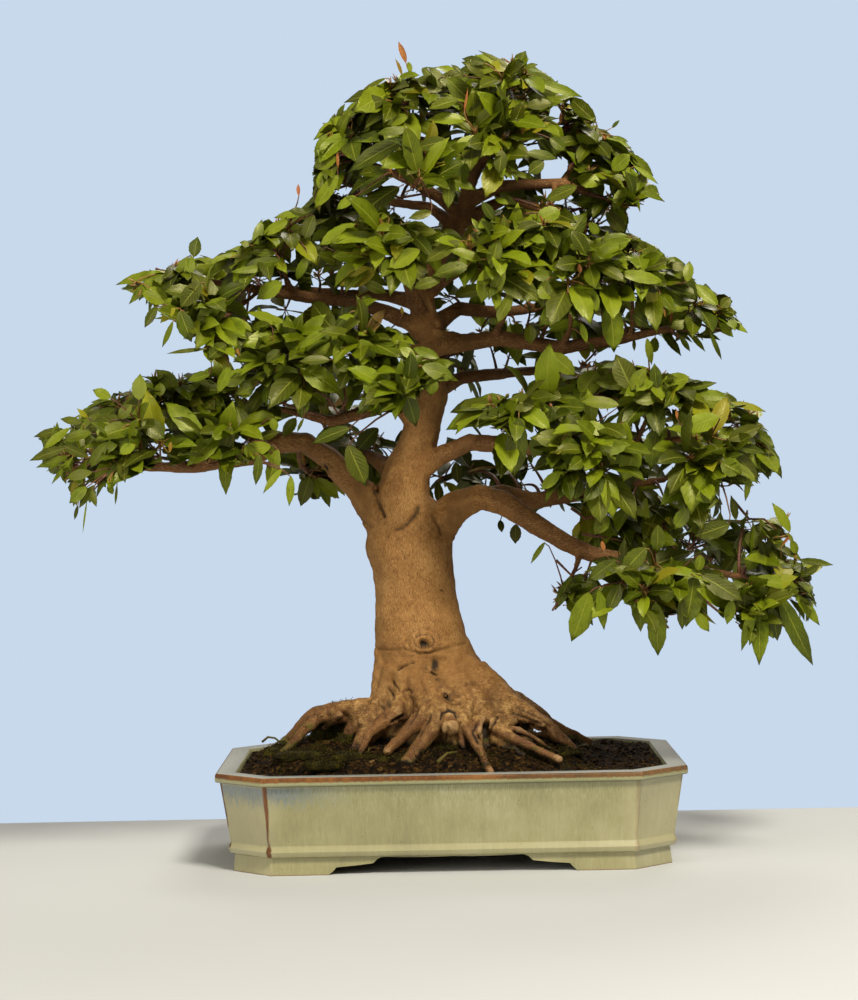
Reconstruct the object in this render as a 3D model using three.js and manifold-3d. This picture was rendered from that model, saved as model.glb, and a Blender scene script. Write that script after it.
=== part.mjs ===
// A blueberry ash grown as a bonsai in an eight-sided glazed pot.
// Millimetres, Z up. The front of the tree faces -Y, and the pot's feet stand on Z = 0.
import * as THREE from "three";
import { mergeVertices } from "three/addons/utils/BufferGeometryUtils.js";
import Module from "manifold-3d";

const wasm = await Module();
wasm.setup();

// Driving dimensions of the pot
const POT_WIDTH = 480;
const POT_DEPTH = 336;
const POT_HEIGHT = 100;
const CORNER_CUT = 50;
const LIP_WIDTH = 20;
const LIP_FACE = 9;
const LIP_ROUND = 3;
const WALL_INSET = 5;
const WALL_BULGE = 2;
const BELT_HEIGHT = 12;
const BELT_INSET = 12;
const BELT_ROUND = 2.5;
const FOOT_HEIGHT = 18;
const FOOT_INSET = 19;
const FOOT_WIDTH = 22;
const FOOT_TAPER = 2;
const FLOOR_TOP = 30;
const FLOOR_INSET = 36;
const FLOOR_FILLET = 6;
const INNER_WALL_INSETS = [29, 21.5];
const DRAIN_RADIUS = 14;
const DRAIN_X = 110;

// The cloud arch cut between two feet: half its span along the long and the short sides, the
// height of its crown, and its stepped shoulder as distances in from the foot and heights
const LONG_ARCH = 126;
const SHORT_ARCH = 74;
const ARCH_CROWN = 16.6;
const ARCH_SHOULDER = [[0, -2], [1, 0], [6, 4], [9, 7.5], [28, 9], [46, 11], [50, 15], [55, 17.2]];

// Driving dimensions of the plastic mesh over each drain hole
const MESH_SIZE = 44;
const MESH_THICKNESS = 1.2;
const MESH_OPENINGS = 3;
const MESH_BAR = 2.4;

// Driving dimensions of the soil
const SOIL_EDGE_Z = 96;
const SOIL_EDGE_DIP = 4;
const MOUND_RISE = 25;
const MOUND_CENTRE = [-25, 0];
const MOUND_REACH = [195, 150];
const SOIL_RINGS = [0.9, 0.74, 0.54, 0.3];
const SOIL_SIDE_STEPS = 2;

// Driving dimensions of the foliage
const STEM_LENGTH = 50;
const STEM_RADIUS = 2;
const STEM_TRIES = 24;
const LEAF_TRIES = 12;
const LEAF_LENGTH = 56;
const LEAF_WIDTH = 23;
const LEAF_THICKNESS = 1.4;
const LEAF_FOLD = 0.24;
const LEAF_DROOP = 0.3;

// Shares of a leaf's length with its share of the width and thickness there, and the place near
// the stalk from which a leaf is tested against its neighbours
const LEAF_OUTLINE = [[0.36, 1, 1], [0.7, 0.72, 0.8]];
const GUARD_START = [0.09, 0.36, 1.6];

// The share of a stem's length at its bend, then the places along it that bear leaves, with the
// turn of the stem's four faces there, which of them bear a leaf, and how far the leaf opens
const STEM_BEND = 0.35;
const STEM_TAPER = 0.3;
const NODE_LENGTH = 2.6;
const LEAF_NODES = [
  { share: 0.4, turn: 0, faces: [0, 2], open: 1.35 },
  { share: 0.7, turn: Math.PI / 4, faces: [0, 2], open: 1.2 },
  { share: 0.96, turn: 0, faces: [0, 1, 2, 3], open: 0.95 },
];

// Driving dimensions of the side branches: their thickest base, as a radius and as a share of
// the limb's, and how much wider than the stem they end
const BRANCH_STEPS = 2;
const BRANCH_RADIUS = 4.5;
const BRANCH_SHARE = 0.6;
const BRANCH_COLLAR = 0.4;

const TRUNK_SIDES = 16;
const LEADER_SIDES = 8;
const LIMB_SIDES = 5;
const BRANCH_SIDES = 4;
const GAP = 0.3;
const CLEARANCE = 0.5;
const UP = new THREE.Vector3(0, 0, 1);
const EAST = new THREE.Vector3(1, 0, 0);

// Each line below lists points from the base to the tip as x, y, z and radius.
const LEADER = [
  [-42, 0, 340, 31], [-45, 0, 380, 28], [-36, 0, 410, 23], [-24, 0, 443, 18], [-13, 0, 486, 15],
  [-22, 2, 550, 13], [-21, 2, 592, 12], [-6, 2, 627, 11], [26, 1, 674, 9], [32, 0, 712, 7],
  [42, 0, 736, 4], [48, 0, 752, 3],
];

// A section through the trunk: height, left edge, right edge, half depth, depth of its flutes.
const TRUNK_SECTIONS = [
  [62, -66, 56, 60, 0.04], [108, -92, 88, 86, 0.13], [136, -88, 84, 78, 0.13], [158, -84, 72, 66, 0.11],
  [180, -81, 54, 56, 0.08], [201, -78, 33, 48, 0.05], [225, -77, 19, 44, 0.03], [246, -76, 15, 42, 0.02],
  [268, -74.5, 7, 41, 0.02], [298, -76, 3, 41, 0.02], [326, -85, 3, 40, 0.02], [350, -82, 2, 36, 0.02],
  [372, -72, -14, 29, 0.02],
];

// The surface roots, from inside the trunk's flare to where each one dives into the soil.
const ROOTS = [
  [[-60, -8, 150, 22], [-86, -14, 149, 12], [-137, -30, 147, 7.5], [-152, -38, 134, 6],
   [-180, -50, 106, 3.5]],
  [[-40, -40, 160, 14], [-54, -66, 154, 9], [-84, -96, 136, 5], [-93, -106, 114, 3.5]],
  [[-22, -50, 160, 14], [-30, -78, 148, 8], [-66, -116, 118, 5]],
  [[-8, -52, 160, 15], [-14, -80, 144, 10], [-45, -128, 108, 7]],
  [[0, -50, 160, 12], [0, -100, 139, 6.5]],
  [[10, -50, 160, 13], [14, -80, 144, 7], [26, -106, 126, 5], [40, -142, 96, 3]],
  [[24, -40, 158, 15], [40, -68, 140, 9], [61, -87, 129, 5.5], [112, -110, 106, 3]],
  [[44, -20, 160, 16], [72, -36, 150, 12], [98, -45, 136, 8], [136, -60, 104, 4]],
  [[50, 4, 160, 16], [78, 8, 148, 12], [106, 12, 129, 8.5], [158, 24, 98, 4.5]],
  [[30, -46, 140, 16], [54, -76, 122, 11], [74, -92, 104, 8]],
  [[-62, -34, 150, 18], [-84, -58, 132, 12], [-100, -78, 106, 9]],
  [[20, 44, 160, 15], [46, 74, 142, 10], [84, 116, 102, 5]],
  [[-26, 50, 160, 15], [-36, 80, 142, 10], [-52, 124, 102, 5]],
  [[-60, 26, 156, 16], [-88, 52, 140, 10], [-136, 88, 102, 5]],
];

// Each limb has the line of its wood, which ends in a leafy spray, and the middles of the other
// sprays that its side branches bear.
const LIMBS = [
  {
    line: [[-62, 0, 345, 24], [-90, -4, 382, 15], [-122, -12, 417, 12], [-147, -16, 435, 11.5],
      [-172, -18, 435, 11], [-200, -22, 422, 9.5], [-262, -26, 411, 7], [-338, -32, 412, 3]],
    sprays: [[-350, 40, 462], [-285, -45, 476], [-298, -100, 430], [-216, -80, 424], [-170, 62, 410]],
  },
  {
    line: [[-28, -4, 452, 11], [-52, -14, 476, 8], [-74, -20, 467, 7], [-118, -26, 456, 6],
      [-180, -32, 472, 3]],
    sprays: [[-158, -75, 510], [-95, -95, 525], [-52, -106, 482]],
  },
  {
    line: [[-20, -2, 550, 11], [-54, -12, 568, 8], [-88, -22, 579, 7], [-170, -36, 590, 5],
      [-244, -40, 604, 3]],
    sprays: [[-232, -90, 576], [-180, -40, 626]],
  },
  {
    line: [[-20, 4, 578, 9], [-60, 30, 590, 6.5], [-104, 46, 592, 5.5], [-170, 62, 602, 3]],
    sprays: [[-130, 80, 650]],
  },
  {
    line: [[24, 0, 668, 8], [0, -12, 688, 6], [-26, -18, 704, 5.5], [-66, -24, 722, 3]],
    sprays: [[-48, -40, 776], [-40, -78, 708]],
  },
  {
    line: [[16, 2, 660, 8], [-12, 18, 682, 5.5], [-48, 30, 688, 4.5], [-82, 38, 702, 3]],
    sprays: [],
  },
  {
    line: [[36, 0, 718, 6], [14, -8, 740, 4.5], [-12, -10, 750, 3]],
    sprays: [[28, -70, 750]],
  },
  {
    line: [[38, 2, 728, 5.5], [66, 6, 744, 4.5], [94, 6, 750, 3]],
    sprays: [[92, -40, 790]],
  },
  {
    line: [[32, 4, 702, 6], [42, 36, 722, 4.5], [54, 58, 740, 3]],
    sprays: [],
  },
  {
    line: [[30, 0, 686, 8], [65, -8, 700, 6], [128, -14, 701, 5], [154, -14, 690, 3]],
    sprays: [[158, 6, 738], [130, -64, 680]],
  },
  {
    line: [[28, 4, 668, 8], [70, 22, 689, 5.5], [104, 34, 680, 4.5], [134, 44, 670, 3]],
    sprays: [],
  },
  {
    line: [[-10, -2, 536, 13], [29, -12, 536, 9.5], [60, -18, 540, 8.5], [124, -26, 528, 7.5],
      [188, -30, 536, 5.5], [236, -28, 546, 3]],
    sprays: [[84, -70, 620], [146, -84, 598], [208, -62, 592]],
  },
  {
    line: [[-12, 4, 554, 10], [18, 24, 574, 7.5], [52, 42, 570, 6.5], [96, 60, 574, 5], [160, 70, 590, 3]],
    sprays: [[110, 64, 622]],
  },
  {
    line: [[-12, 8, 486, 10], [20, 40, 501, 7.5], [88, 96, 508, 5], [134, 116, 510, 3]],
    sprays: [],
  },
  {
    line: [[-26, -6, 402, 14], [-6, -14, 417, 11], [27, -24, 431, 9.5], [62, -34, 428, 8.5],
      [146, -48, 417, 6.5], [192, -50, 422, 5], [266, -48, 434, 3]],
    sprays: [[88, -90, 456], [156, -24, 470], [168, -112, 424], [226, -64, 474], [262, -104, 422]],
  },
  {
    line: [[-14, -2, 338, 23], [12, -8, 364, 17], [38, -16, 374, 13.5], [60, -24, 367, 12],
      [82, -30, 352, 10.5], [126, -38, 324, 9], [152, -40, 312, 8.5], [230, -44, 300, 5.5],
      [306, -40, 286, 3]],
    sprays: [[146, -76, 284], [206, -112, 296], [226, -24, 262], [268, 20, 320], [298, -104, 272]],
  },
  {
    line: [[26, -4, 370, 13], [60, 16, 376, 10], [92, 32, 368, 9], [154, 54, 374, 6.5], [240, 66, 388, 3]],
    sprays: [[180, 100, 400]],
  },
  {
    line: [[-46, 14, 392, 12], [-72, 52, 414, 8], [-92, 84, 424, 6], [-106, 108, 432, 3]],
    sprays: [],
  },
  {
    line: [[-18, 8, 466, 11], [-20, 52, 488, 7.5], [-14, 96, 500, 6], [-8, 132, 514, 3]],
    sprays: [],
  },
  {
    line: [[-14, 8, 606, 9], [-10, 46, 630, 6.5], [4, 92, 652, 3]],
    sprays: [],
  },
  {
    line: [[-20, -6, 560, 9], [-32, -40, 588, 6.5], [-40, -66, 612, 3]],
    sprays: [],
  },
  {
    line: [[-12, -4, 592, 8], [8, -36, 604, 5.5], [24, -66, 608, 3]],
    sprays: [],
  },
];

// A repeatable spread from -1 to 1 for any whole number.
function vary(number) {
  const wave = Math.sin(number * 12.9898 + 4.1) * 43758.5453;
  return 2 * (wave - Math.floor(wave)) - 1;
}

function vector(point) {
  return new THREE.Vector3(point[0], point[1], point[2]);
}

// Six times the volume between a closed surface's triangles and the origin.
function signedVolume(positions, index) {
  let sum = 0;
  for (let i = 0; i < index.length; i += 3) {
    const [a, b, c] = [index[i], index[i + 1], index[i + 2]].map((k) => positions[k]);
    sum += a.dot(new THREE.Vector3().crossVectors(b, c));
  }
  return sum;
}

// A closed body from its points and triangles, with the faces pointing out.
function closedGeometry(positions, index) {
  const outward = signedVolume(positions, index) > 0 ? index : index.slice().reverse();
  const geometry = new THREE.BufferGeometry();
  const numbers = positions.flatMap((p) => p.toArray());
  geometry.setAttribute("position", new THREE.Float32BufferAttribute(numbers, 3));
  geometry.setIndex(outward);
  return geometry;
}

// Rings of equally many points joined in order, with a fan of triangles over each end.
function loft(rings) {
  const count = rings[0].length;
  const positions = rings.flat();
  const index = [];
  for (let ring = 0; ring + 1 < rings.length; ring += 1) {
    for (let k = 0; k < count; k += 1) {
      const next = (k + 1) % count;
      const [a, b] = [ring * count + k, ring * count + next];
      const [c, d] = [a + count, b + count];
      index.push(a, b, d, a, d, c);
    }
  }
  [rings[0], rings.at(-1)].forEach((ring, end) => {
    const start = end === 0 ? 0 : (rings.length - 1) * count;
    const middle = ring.reduce((sum, p) => sum.add(p), new THREE.Vector3()).divideScalar(count);
    positions.push(middle);
    for (let k = 0; k < count; k += 1) {
      const edge = [start + k, start + ((k + 1) % count)];
      const fan = end === 0 ? [edge[1], edge[0]] : edge;
      index.push(fan[0], fan[1], positions.length - 1);
    }
  });
  return closedGeometry(positions, index);
}

function solidOf(geometry) {
  const bare = new THREE.BufferGeometry();
  bare.setAttribute("position", geometry.getAttribute("position"));
  bare.setIndex(geometry.getIndex());
  const merged = mergeVertices(bare, 1e-4);
  return new wasm.Manifold(new wasm.Mesh({
    numProp: 3,
    vertProperties: new Float32Array(merged.getAttribute("position").array),
    triVerts: new Uint32Array(merged.getIndex().array),
  }));
}

function geometryOf(solid) {
  const mesh = solid.getMesh();
  const geometry = new THREE.BufferGeometry();
  geometry.setAttribute("position", new THREE.BufferAttribute(new Float32Array(mesh.vertProperties), 3));
  geometry.setIndex(new THREE.BufferAttribute(new Uint32Array(mesh.triVerts), 1));
  geometry.computeVertexNormals();
  return geometry;
}

function joined(solids) {
  return solids.reduce((whole, solid) => whole.add(solid));
}

function largestBody(solid) {
  return solid.decompose().reduce((best, body) => (body.volume() > best.volume() ? body : best));
}

// A tapering tube round a line of points with a radius each, square to the line at every ring.
function taperedTube(line, sides, grow = 0) {
  const points = line.map(vector);
  const along = points.map((point, k) => {
    const before = points[Math.max(k - 1, 0)];
    const after = points[Math.min(k + 1, points.length - 1)];
    return after.clone().sub(before).normalize();
  });
  const isUpright = Math.abs(along[0].z) > 0.9;
  const side = new THREE.Vector3().crossVectors(along[0], isUpright ? EAST : UP).normalize();
  const rings = points.map((point, k) => {
    side.addScaledVector(along[k], -side.dot(along[k])).normalize();
    const across = new THREE.Vector3().crossVectors(along[k], side);
    const radius = line[k][3] + grow;
    return Array.from({ length: sides }, (unused, corner) => {
      const angle = (2 * Math.PI * corner) / sides;
      return point.clone()
        .addScaledVector(side, radius * Math.cos(angle))
        .addScaledVector(across, radius * Math.sin(angle));
    });
  });
  return loft(rings);
}

// The pot's eight-sided outline at a height, moved in from the rim's outline.
function octagon(inset, z) {
  const halfWidth = POT_WIDTH / 2 - inset;
  const halfDepth = POT_DEPTH / 2 - inset;
  const cut = CORNER_CUT - inset * (2 - Math.SQRT2);
  const corners = [
    [halfWidth, cut - halfDepth], [halfWidth, halfDepth - cut], [halfWidth - cut, halfDepth],
    [cut - halfWidth, halfDepth], [-halfWidth, halfDepth - cut], [-halfWidth, cut - halfDepth],
    [cut - halfWidth, -halfDepth], [halfWidth - cut, -halfDepth],
  ];
  return corners.map(([x, y]) => new THREE.Vector3(x, y, z));
}

// The same outline with more points along each side.
function finerOctagon(inset, z, steps) {
  const corners = octagon(inset, z);
  return corners.flatMap((corner, k) => {
    const next = corners[(k + 1) % corners.length];
    return Array.from({ length: steps }, (unused, step) => corner.clone().lerp(next, step / steps));
  });
}

// The stepped cloud arch between two feet, cut along the pot from one side to the other.
function footArch(halfSpan, length) {
  const shape = new THREE.Shape();
  const [inmost, shoulderZ] = ARCH_SHOULDER.at(-1);
  const sagZ = ARCH_CROWN - 1;
  ARCH_SHOULDER.forEach(([inward, z], k) => {
    if (k === 0) shape.moveTo(inward - halfSpan, z);
    else shape.lineTo(inward - halfSpan, z);
  });
  shape.quadraticCurveTo(-halfSpan / 4, sagZ, 0, ARCH_CROWN);
  shape.quadraticCurveTo(halfSpan / 4, sagZ, halfSpan - inmost, shoulderZ);
  ARCH_SHOULDER.slice(0, -1).reverse().forEach(([inward, z]) => shape.lineTo(halfSpan - inward, z));
  shape.closePath();
  const options = { depth: length, bevelEnabled: false, curveSegments: 3 };
  const geometry = new THREE.ExtrudeGeometry(shape, options);
  geometry.translate(0, 0, -length / 2);
  geometry.rotateX(Math.PI / 2);
  return geometry;
}

// The pot: its section as insets and heights, up the outside from the foot and down the inside.
function buildPot() {
  const wallTop = POT_HEIGHT - LIP_FACE;
  const profile = [
    [FOOT_INSET + FOOT_WIDTH, FOOT_HEIGHT],
    [FOOT_INSET + FOOT_WIDTH - FOOT_TAPER, 0],
    [FOOT_INSET - FOOT_TAPER, 0],
    [FOOT_INSET, FOOT_HEIGHT - 1],
    [BELT_INSET + 2, FOOT_HEIGHT + 1],
    [BELT_INSET, FOOT_HEIGHT + BELT_HEIGHT / 2],
    [BELT_INSET + BELT_ROUND, FOOT_HEIGHT + BELT_HEIGHT],
    [WALL_INSET + WALL_BULGE, wallTop - BELT_HEIGHT],
    [WALL_INSET, wallTop],
    [1, wallTop],
    [0, wallTop + 2],
    [0.5, POT_HEIGHT - 1.2],
    [2, POT_HEIGHT],
    [LIP_WIDTH, POT_HEIGHT],
    [INNER_WALL_INSETS[1], POT_HEIGHT - LIP_ROUND],
    [INNER_WALL_INSETS[0], FLOOR_TOP + FLOOR_FILLET],
    [FLOOR_INSET, FLOOR_TOP],
  ];
  let pot = solidOf(loft(profile.map(([inset, z]) => octagon(inset, z))));
  pot = pot.subtract(solidOf(footArch(LONG_ARCH, POT_DEPTH)));
  pot = pot.subtract(solidOf(footArch(SHORT_ARCH, POT_WIDTH).rotateZ(Math.PI / 2)));
  for (const x of [-DRAIN_X, DRAIN_X]) {
    const hole = new THREE.CylinderGeometry(DRAIN_RADIUS, DRAIN_RADIUS, FLOOR_TOP, 16);
    hole.rotateX(Math.PI / 2);
    hole.translate(x, 0, (FLOOR_TOP + FOOT_HEIGHT) / 2);
    pot = pot.subtract(solidOf(hole));
  }
  return pot;
}

// The square of plastic mesh that keeps the soil from falling through a drain hole.
function buildDrainMesh(x) {
  const middleZ = FLOOR_TOP + GAP + MESH_THICKNESS / 2;
  const plate = new THREE.BoxGeometry(MESH_SIZE, MESH_SIZE, MESH_THICKNESS);
  plate.translate(x, 0, middleZ);
  let mesh = solidOf(plate);
  const pitch = (MESH_SIZE - MESH_BAR) / MESH_OPENINGS;
  const opening = pitch - MESH_BAR;
  for (let row = 0; row < MESH_OPENINGS; row += 1) {
    for (let column = 0; column < MESH_OPENINGS; column += 1) {
      const hole = new THREE.BoxGeometry(opening, opening, 2 * MESH_THICKNESS);
      const steps = [column, row].map((step) => (step - (MESH_OPENINGS - 1) / 2) * pitch);
      hole.translate(x + steps[0], steps[1], middleZ);
      mesh = mesh.subtract(solidOf(hole));
    }
  }
  return mesh;
}

// The soil's surface: a flat-topped mound with low lumps.
function soilHeight(x, y) {
  const [awayX, awayY] = [x, y].map((value, k) => (value - MOUND_CENTRE[k]) / MOUND_REACH[k]);
  const mound = MOUND_RISE * Math.max(0, 1 - Math.hypot(awayX, awayY) ** 5);
  const lumps = 1.6 * Math.sin(x / 13 + 1) * Math.cos(y / 11) + 1.1 * Math.sin((x + y) / 7);
  return SOIL_EDGE_Z + mound + lumps;
}

// The soil fills the pot, with holes where the trunk and its roots stand in it.
function buildSoil(hole) {
  const filletZ = FLOOR_TOP + FLOOR_FILLET;
  const edgeZ = SOIL_EDGE_Z - SOIL_EDGE_DIP;
  const ringAt = (inset, z) => finerOctagon(inset + 2 * GAP, z, SOIL_SIDE_STEPS);
  const innerInset = (z) => {
    const share = (z - filletZ) / (POT_HEIGHT - LIP_ROUND - filletZ);
    return THREE.MathUtils.lerp(INNER_WALL_INSETS[0], INNER_WALL_INSETS[1], share);
  };
  const edge = ringAt(innerInset(edgeZ), edgeZ);
  const surface = SOIL_RINGS.map((share) => edge.map((point) => {
    const [x, y] = [share * point.x, share * point.y];
    return new THREE.Vector3(x, y, soilHeight(x, y));
  }));
  const sides = [ringAt(FLOOR_INSET, FLOOR_TOP + GAP), ringAt(innerInset(filletZ), filletZ), edge];
  let soil = solidOf(loft([...sides, ...surface])).subtract(hole);
  for (const x of [-DRAIN_X, DRAIN_X]) {
    const size = MESH_SIZE + 2 * GAP;
    const recess = new THREE.BoxGeometry(size, size, 2 * (MESH_THICKNESS + 2 * GAP));
    recess.translate(x, 0, FLOOR_TOP);
    soil = soil.subtract(solidOf(recess));
  }
  return largestBody(soil);
}

// The trunk's flare and flutes: each section is an oval whose edge waves more toward the roots.
function trunkBody(grow) {
  const rings = TRUNK_SECTIONS.map(([z, left, right, halfDepth, flute]) => {
    const middle = (left + right) / 2;
    const halfWidth = (right - left) / 2;
    return Array.from({ length: TRUNK_SIDES }, (unused, k) => {
      const angle = (2 * Math.PI * k) / TRUNK_SIDES;
      const wave = 1 + flute * (0.6 * Math.cos(5 * angle + 0.8) + 0.4 * Math.cos(8 * angle + 2.1));
      return new THREE.Vector3(
        middle + (halfWidth * wave + grow) * Math.cos(angle),
        (halfDepth * wave + grow) * Math.sin(angle),
        z,
      );
    });
  });
  return loft(rings);
}

// The trunk's flare with its roots, as it grew or a little larger.
function rootCast(grow) {
  const roots = ROOTS.map((line) => solidOf(taperedTube(line, LIMB_SIDES, grow)));
  return joined([solidOf(trunkBody(grow)), ...roots]);
}

// The place on a line a number of points and part points from its base.
function placeOnLine(line, position) {
  const low = Math.min(Math.floor(position), line.length - 2);
  const [from, to] = [vector(line[low]), vector(line[low + 1])];
  return {
    point: from.clone().lerp(to, position - low),
    along: to.sub(from).normalize(),
    radius: THREE.MathUtils.lerp(line[low][3], line[low + 1][3], position - low),
  };
}

// Where a side branch leaves its limb: a little before the limb's nearest place to the spray.
function branchStart(line, target) {
  const last = line.length - 1;
  const trials = Array.from({ length: 8 * last - 7 }, (unused, k) => 1 + k / 8);
  const distance = (position) => placeOnLine(line, position).point.distanceTo(target);
  const nearest = trials.reduce((best, trial) => (distance(trial) < distance(best) ? trial : best));
  return placeOnLine(line, Math.max(0.9, Math.min(nearest - 0.5, last - 0.6)));
}

// The line of a side branch that leaves a limb forward and ends where its spray begins.
function branchLine(limb, middle) {
  const { point, along, radius } = branchStart(limb.line, middle);
  const heading = middle.clone().sub(point).normalize();
  heading.addScaledVector(along, 0.4).addScaledVector(UP, 0.3).normalize();
  const end = middle.clone().addScaledVector(heading, -0.55 * STEM_LENGTH);
  const reach = point.distanceTo(end);
  const bend = new THREE.CubicBezierCurve3(
    point,
    point.clone().addScaledVector(along, 0.3 * reach),
    end.clone().addScaledVector(heading, -0.35 * reach),
    end,
  );
  const thick = Math.min(BRANCH_SHARE * radius, BRANCH_RADIUS);
  const radiusAt = (share) => THREE.MathUtils.lerp(thick, STEM_RADIUS + BRANCH_COLLAR, share);
  return bend.getPoints(BRANCH_STEPS).map((p, k) => [...p, radiusAt(k / BRANCH_STEPS)]);
}

// A leaf's blade, folded along its midrib and arched down: four points at each place of its
// outline (one edge, the top of the midrib, the other edge, the underside), then its tip.
function leafPoints(leaf, outline, grow = 0) {
  const { root, along, normal, length, width, droop } = leaf;
  const side = new THREE.Vector3().crossVectors(normal, along).normalize();
  const midrib = (s) => root.clone()
    .addScaledVector(along, length * s)
    .addScaledVector(normal, -droop * length * s * s);
  const rings = outline.map(([s, widthShare, thicknessShare]) => {
    const edge = 0.5 * (width * widthShare + grow);
    const thick = 0.5 * (LEAF_THICKNESS * thicknessShare + grow);
    return [
      midrib(s).addScaledVector(side, edge).addScaledVector(normal, LEAF_FOLD * edge),
      midrib(s).addScaledVector(normal, thick),
      midrib(s).addScaledVector(side, -edge).addScaledVector(normal, LEAF_FOLD * edge),
      midrib(s).addScaledVector(normal, -thick),
    ];
  });
  return { rings, tip: midrib(1 + grow / length) };
}

// The two triangles over the first ring of four points of a blade or a stem.
const CLOSED_START = [0, 3, 2, 0, 2, 1];

// Two rings of four joined by triangles that are split alike on a blade's upper and under faces.
function bladeBetween(lower, upper) {
  return [0, 1, 2, 3].flatMap((k) => {
    const next = (k + 1) % 4;
    const [a, b, c, d] = [lower[k], lower[next], upper[k], upper[next]];
    return k % 2 === 0 ? [a, b, d, a, d, c] : [a, b, c, b, d, c];
  });
}

// Four triangles from a ring to a tip.
function fan(ring, point) {
  return [0, 1, 2, 3].flatMap((k) => [ring[k], ring[(k + 1) % 4], point]);
}

// A leaf's blade as a closed solid of its own, a little larger, to test what it would touch.
function leafGuard(leaf) {
  const { rings, tip } = leafPoints(leaf, [GUARD_START, ...LEAF_OUTLINE], CLEARANCE);
  const positions = [...rings.flat(), tip];
  const loops = [0, 4, 8].map((first) => [0, 1, 2, 3].map((k) => first + k));
  const index = [...CLOSED_START, ...bladeBetween(loops[0], loops[1])];
  index.push(...bladeBetween(loops[1], loops[2]), ...fan(loops[2], positions.length - 1));
  return solidOf(closedGeometry(positions, index));
}

// Adds a leaf that grows out of a face of its stem, given as that face's four corners in turn.
function growLeaf(positions, index, face, leaf) {
  const { rings, tip } = leafPoints(leaf, LEAF_OUTLINE);
  const middle = face.reduce((sum, k) => sum.add(positions[k]), new THREE.Vector3()).divideScalar(4);
  const spread = rings[0].reduce((sum, p) => sum.add(p), new THREE.Vector3()).divideScalar(4);
  const match = (shift) => face.reduce((sum, k, corner) => {
    const reach = rings[0][(corner + shift) % 4].clone().sub(spread);
    return sum + positions[k].clone().sub(middle).dot(reach.normalize());
  }, 0);
  const shift = [0, 1, 2, 3].reduce((best, trial) => (match(trial) > match(best) ? trial : best));
  const base = [0, 1, 2, 3].map((corner) => face[(corner - shift + 4) % 4]);
  const first = positions.length;
  positions.push(...rings.flat(), tip);
  const [inner, outer] = [0, 4].map((step) => [0, 1, 2, 3].map((k) => first + step + k));
  index.push(...bladeBetween(base, inner), ...bladeBetween(inner, outer), ...fan(outer, first + 8));
}

// What already stands in the tree, so that new wood and leaves are placed clear of it.
class Thicket {
  constructor() {
    this.placed = [];
  }

  add(solid, owner) {
    const box = solid.boundingBox();
    this.placed.push({ solid, owner, box });
  }

  isFree(solid, ownerAllowed) {
    const box = solid.boundingBox();
    return this.placed.every((other) => {
      if (other.owner === ownerAllowed) return true;
      const apart = [0, 1, 2].some((k) => other.box.min[k] > box.max[k] || other.box.max[k] < box.min[k]);
      return apart || other.solid.intersect(solid).isEmpty();
    });
  }
}

// A stem's direction turned about the vertical and lifted.
function turned(direction, turn, lift) {
  return direction.clone().applyAxisAngle(UP, turn).addScaledVector(UP, lift).normalize();
}

// The stem of a spray, tried with a little more sway until it stands clear. Its rings of four
// corners come in close pairs, and leaves grow from the faces between the two rings of a pair.
function sprayStem(place, number, thicket, owner) {
  const { end, direction } = place;
  for (let attempt = 0; attempt < STEM_TRIES; attempt += 1) {
    const sway = 0.25 * vary(number * 7 + attempt) * (1 + attempt / 4);
    const rise = 0.2 + 0.1 * vary(number * 5 + attempt) * (1 + attempt / 3);
    const heading = turned(direction, sway, rise);
    const start = end.clone().addScaledVector(direction, GAP);
    const bend = end.clone().addScaledVector(direction, STEM_BEND * STEM_LENGTH);
    const tip = bend.clone().addScaledVector(heading, (1 - STEM_BEND) * STEM_LENGTH);
    const stand = start.clone().addScaledVector(direction, GAP);
    const beyond = tip.clone().addScaledVector(heading, NODE_LENGTH);
    const line = [stand, bend, beyond].map((p) => [...p, STEM_RADIUS]);
    const guard = solidOf(taperedTube(line, 6, CLEARANCE));
    if (!thicket.isFree(guard)) continue;
    thicket.add(guard, owner);
    return stemRings(start, bend, tip, direction, heading, number);
  }
  throw new Error(`no room for the stem of ${owner}`);
}

// The stem's rings of corners: one where it starts, then a pair at each place that bears leaves.
function stemRings(start, bend, tip, direction, heading, number) {
  const ringAt = (centre, along, radius, turn) => {
    const level = new THREE.Vector3().crossVectors(UP, along).normalize();
    const above = new THREE.Vector3().crossVectors(along, level);
    return [0, 1, 2, 3].map((corner) => {
      const angle = turn + (corner + 0.5) * (Math.PI / 2);
      return centre.clone()
        .addScaledVector(level, radius * Math.cos(angle))
        .addScaledVector(above, radius * Math.sin(angle));
    });
  };
  const rings = [ringAt(start, direction, STEM_RADIUS, 0)];
  LEAF_NODES.forEach(({ share, turn }) => {
    const radius = STEM_RADIUS * (1 - STEM_TAPER * share);
    const centre = bend.clone().lerp(tip, (share - STEM_BEND) / (1 - STEM_BEND));
    const turnHere = turn + 0.3 * vary(number * 11 + share * 50);
    rings.push(ringAt(centre, heading, radius, turnHere));
    rings.push(ringAt(centre.clone().addScaledVector(heading, NODE_LENGTH), heading, radius, turnHere));
  });
  return { rings, heading };
}

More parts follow.
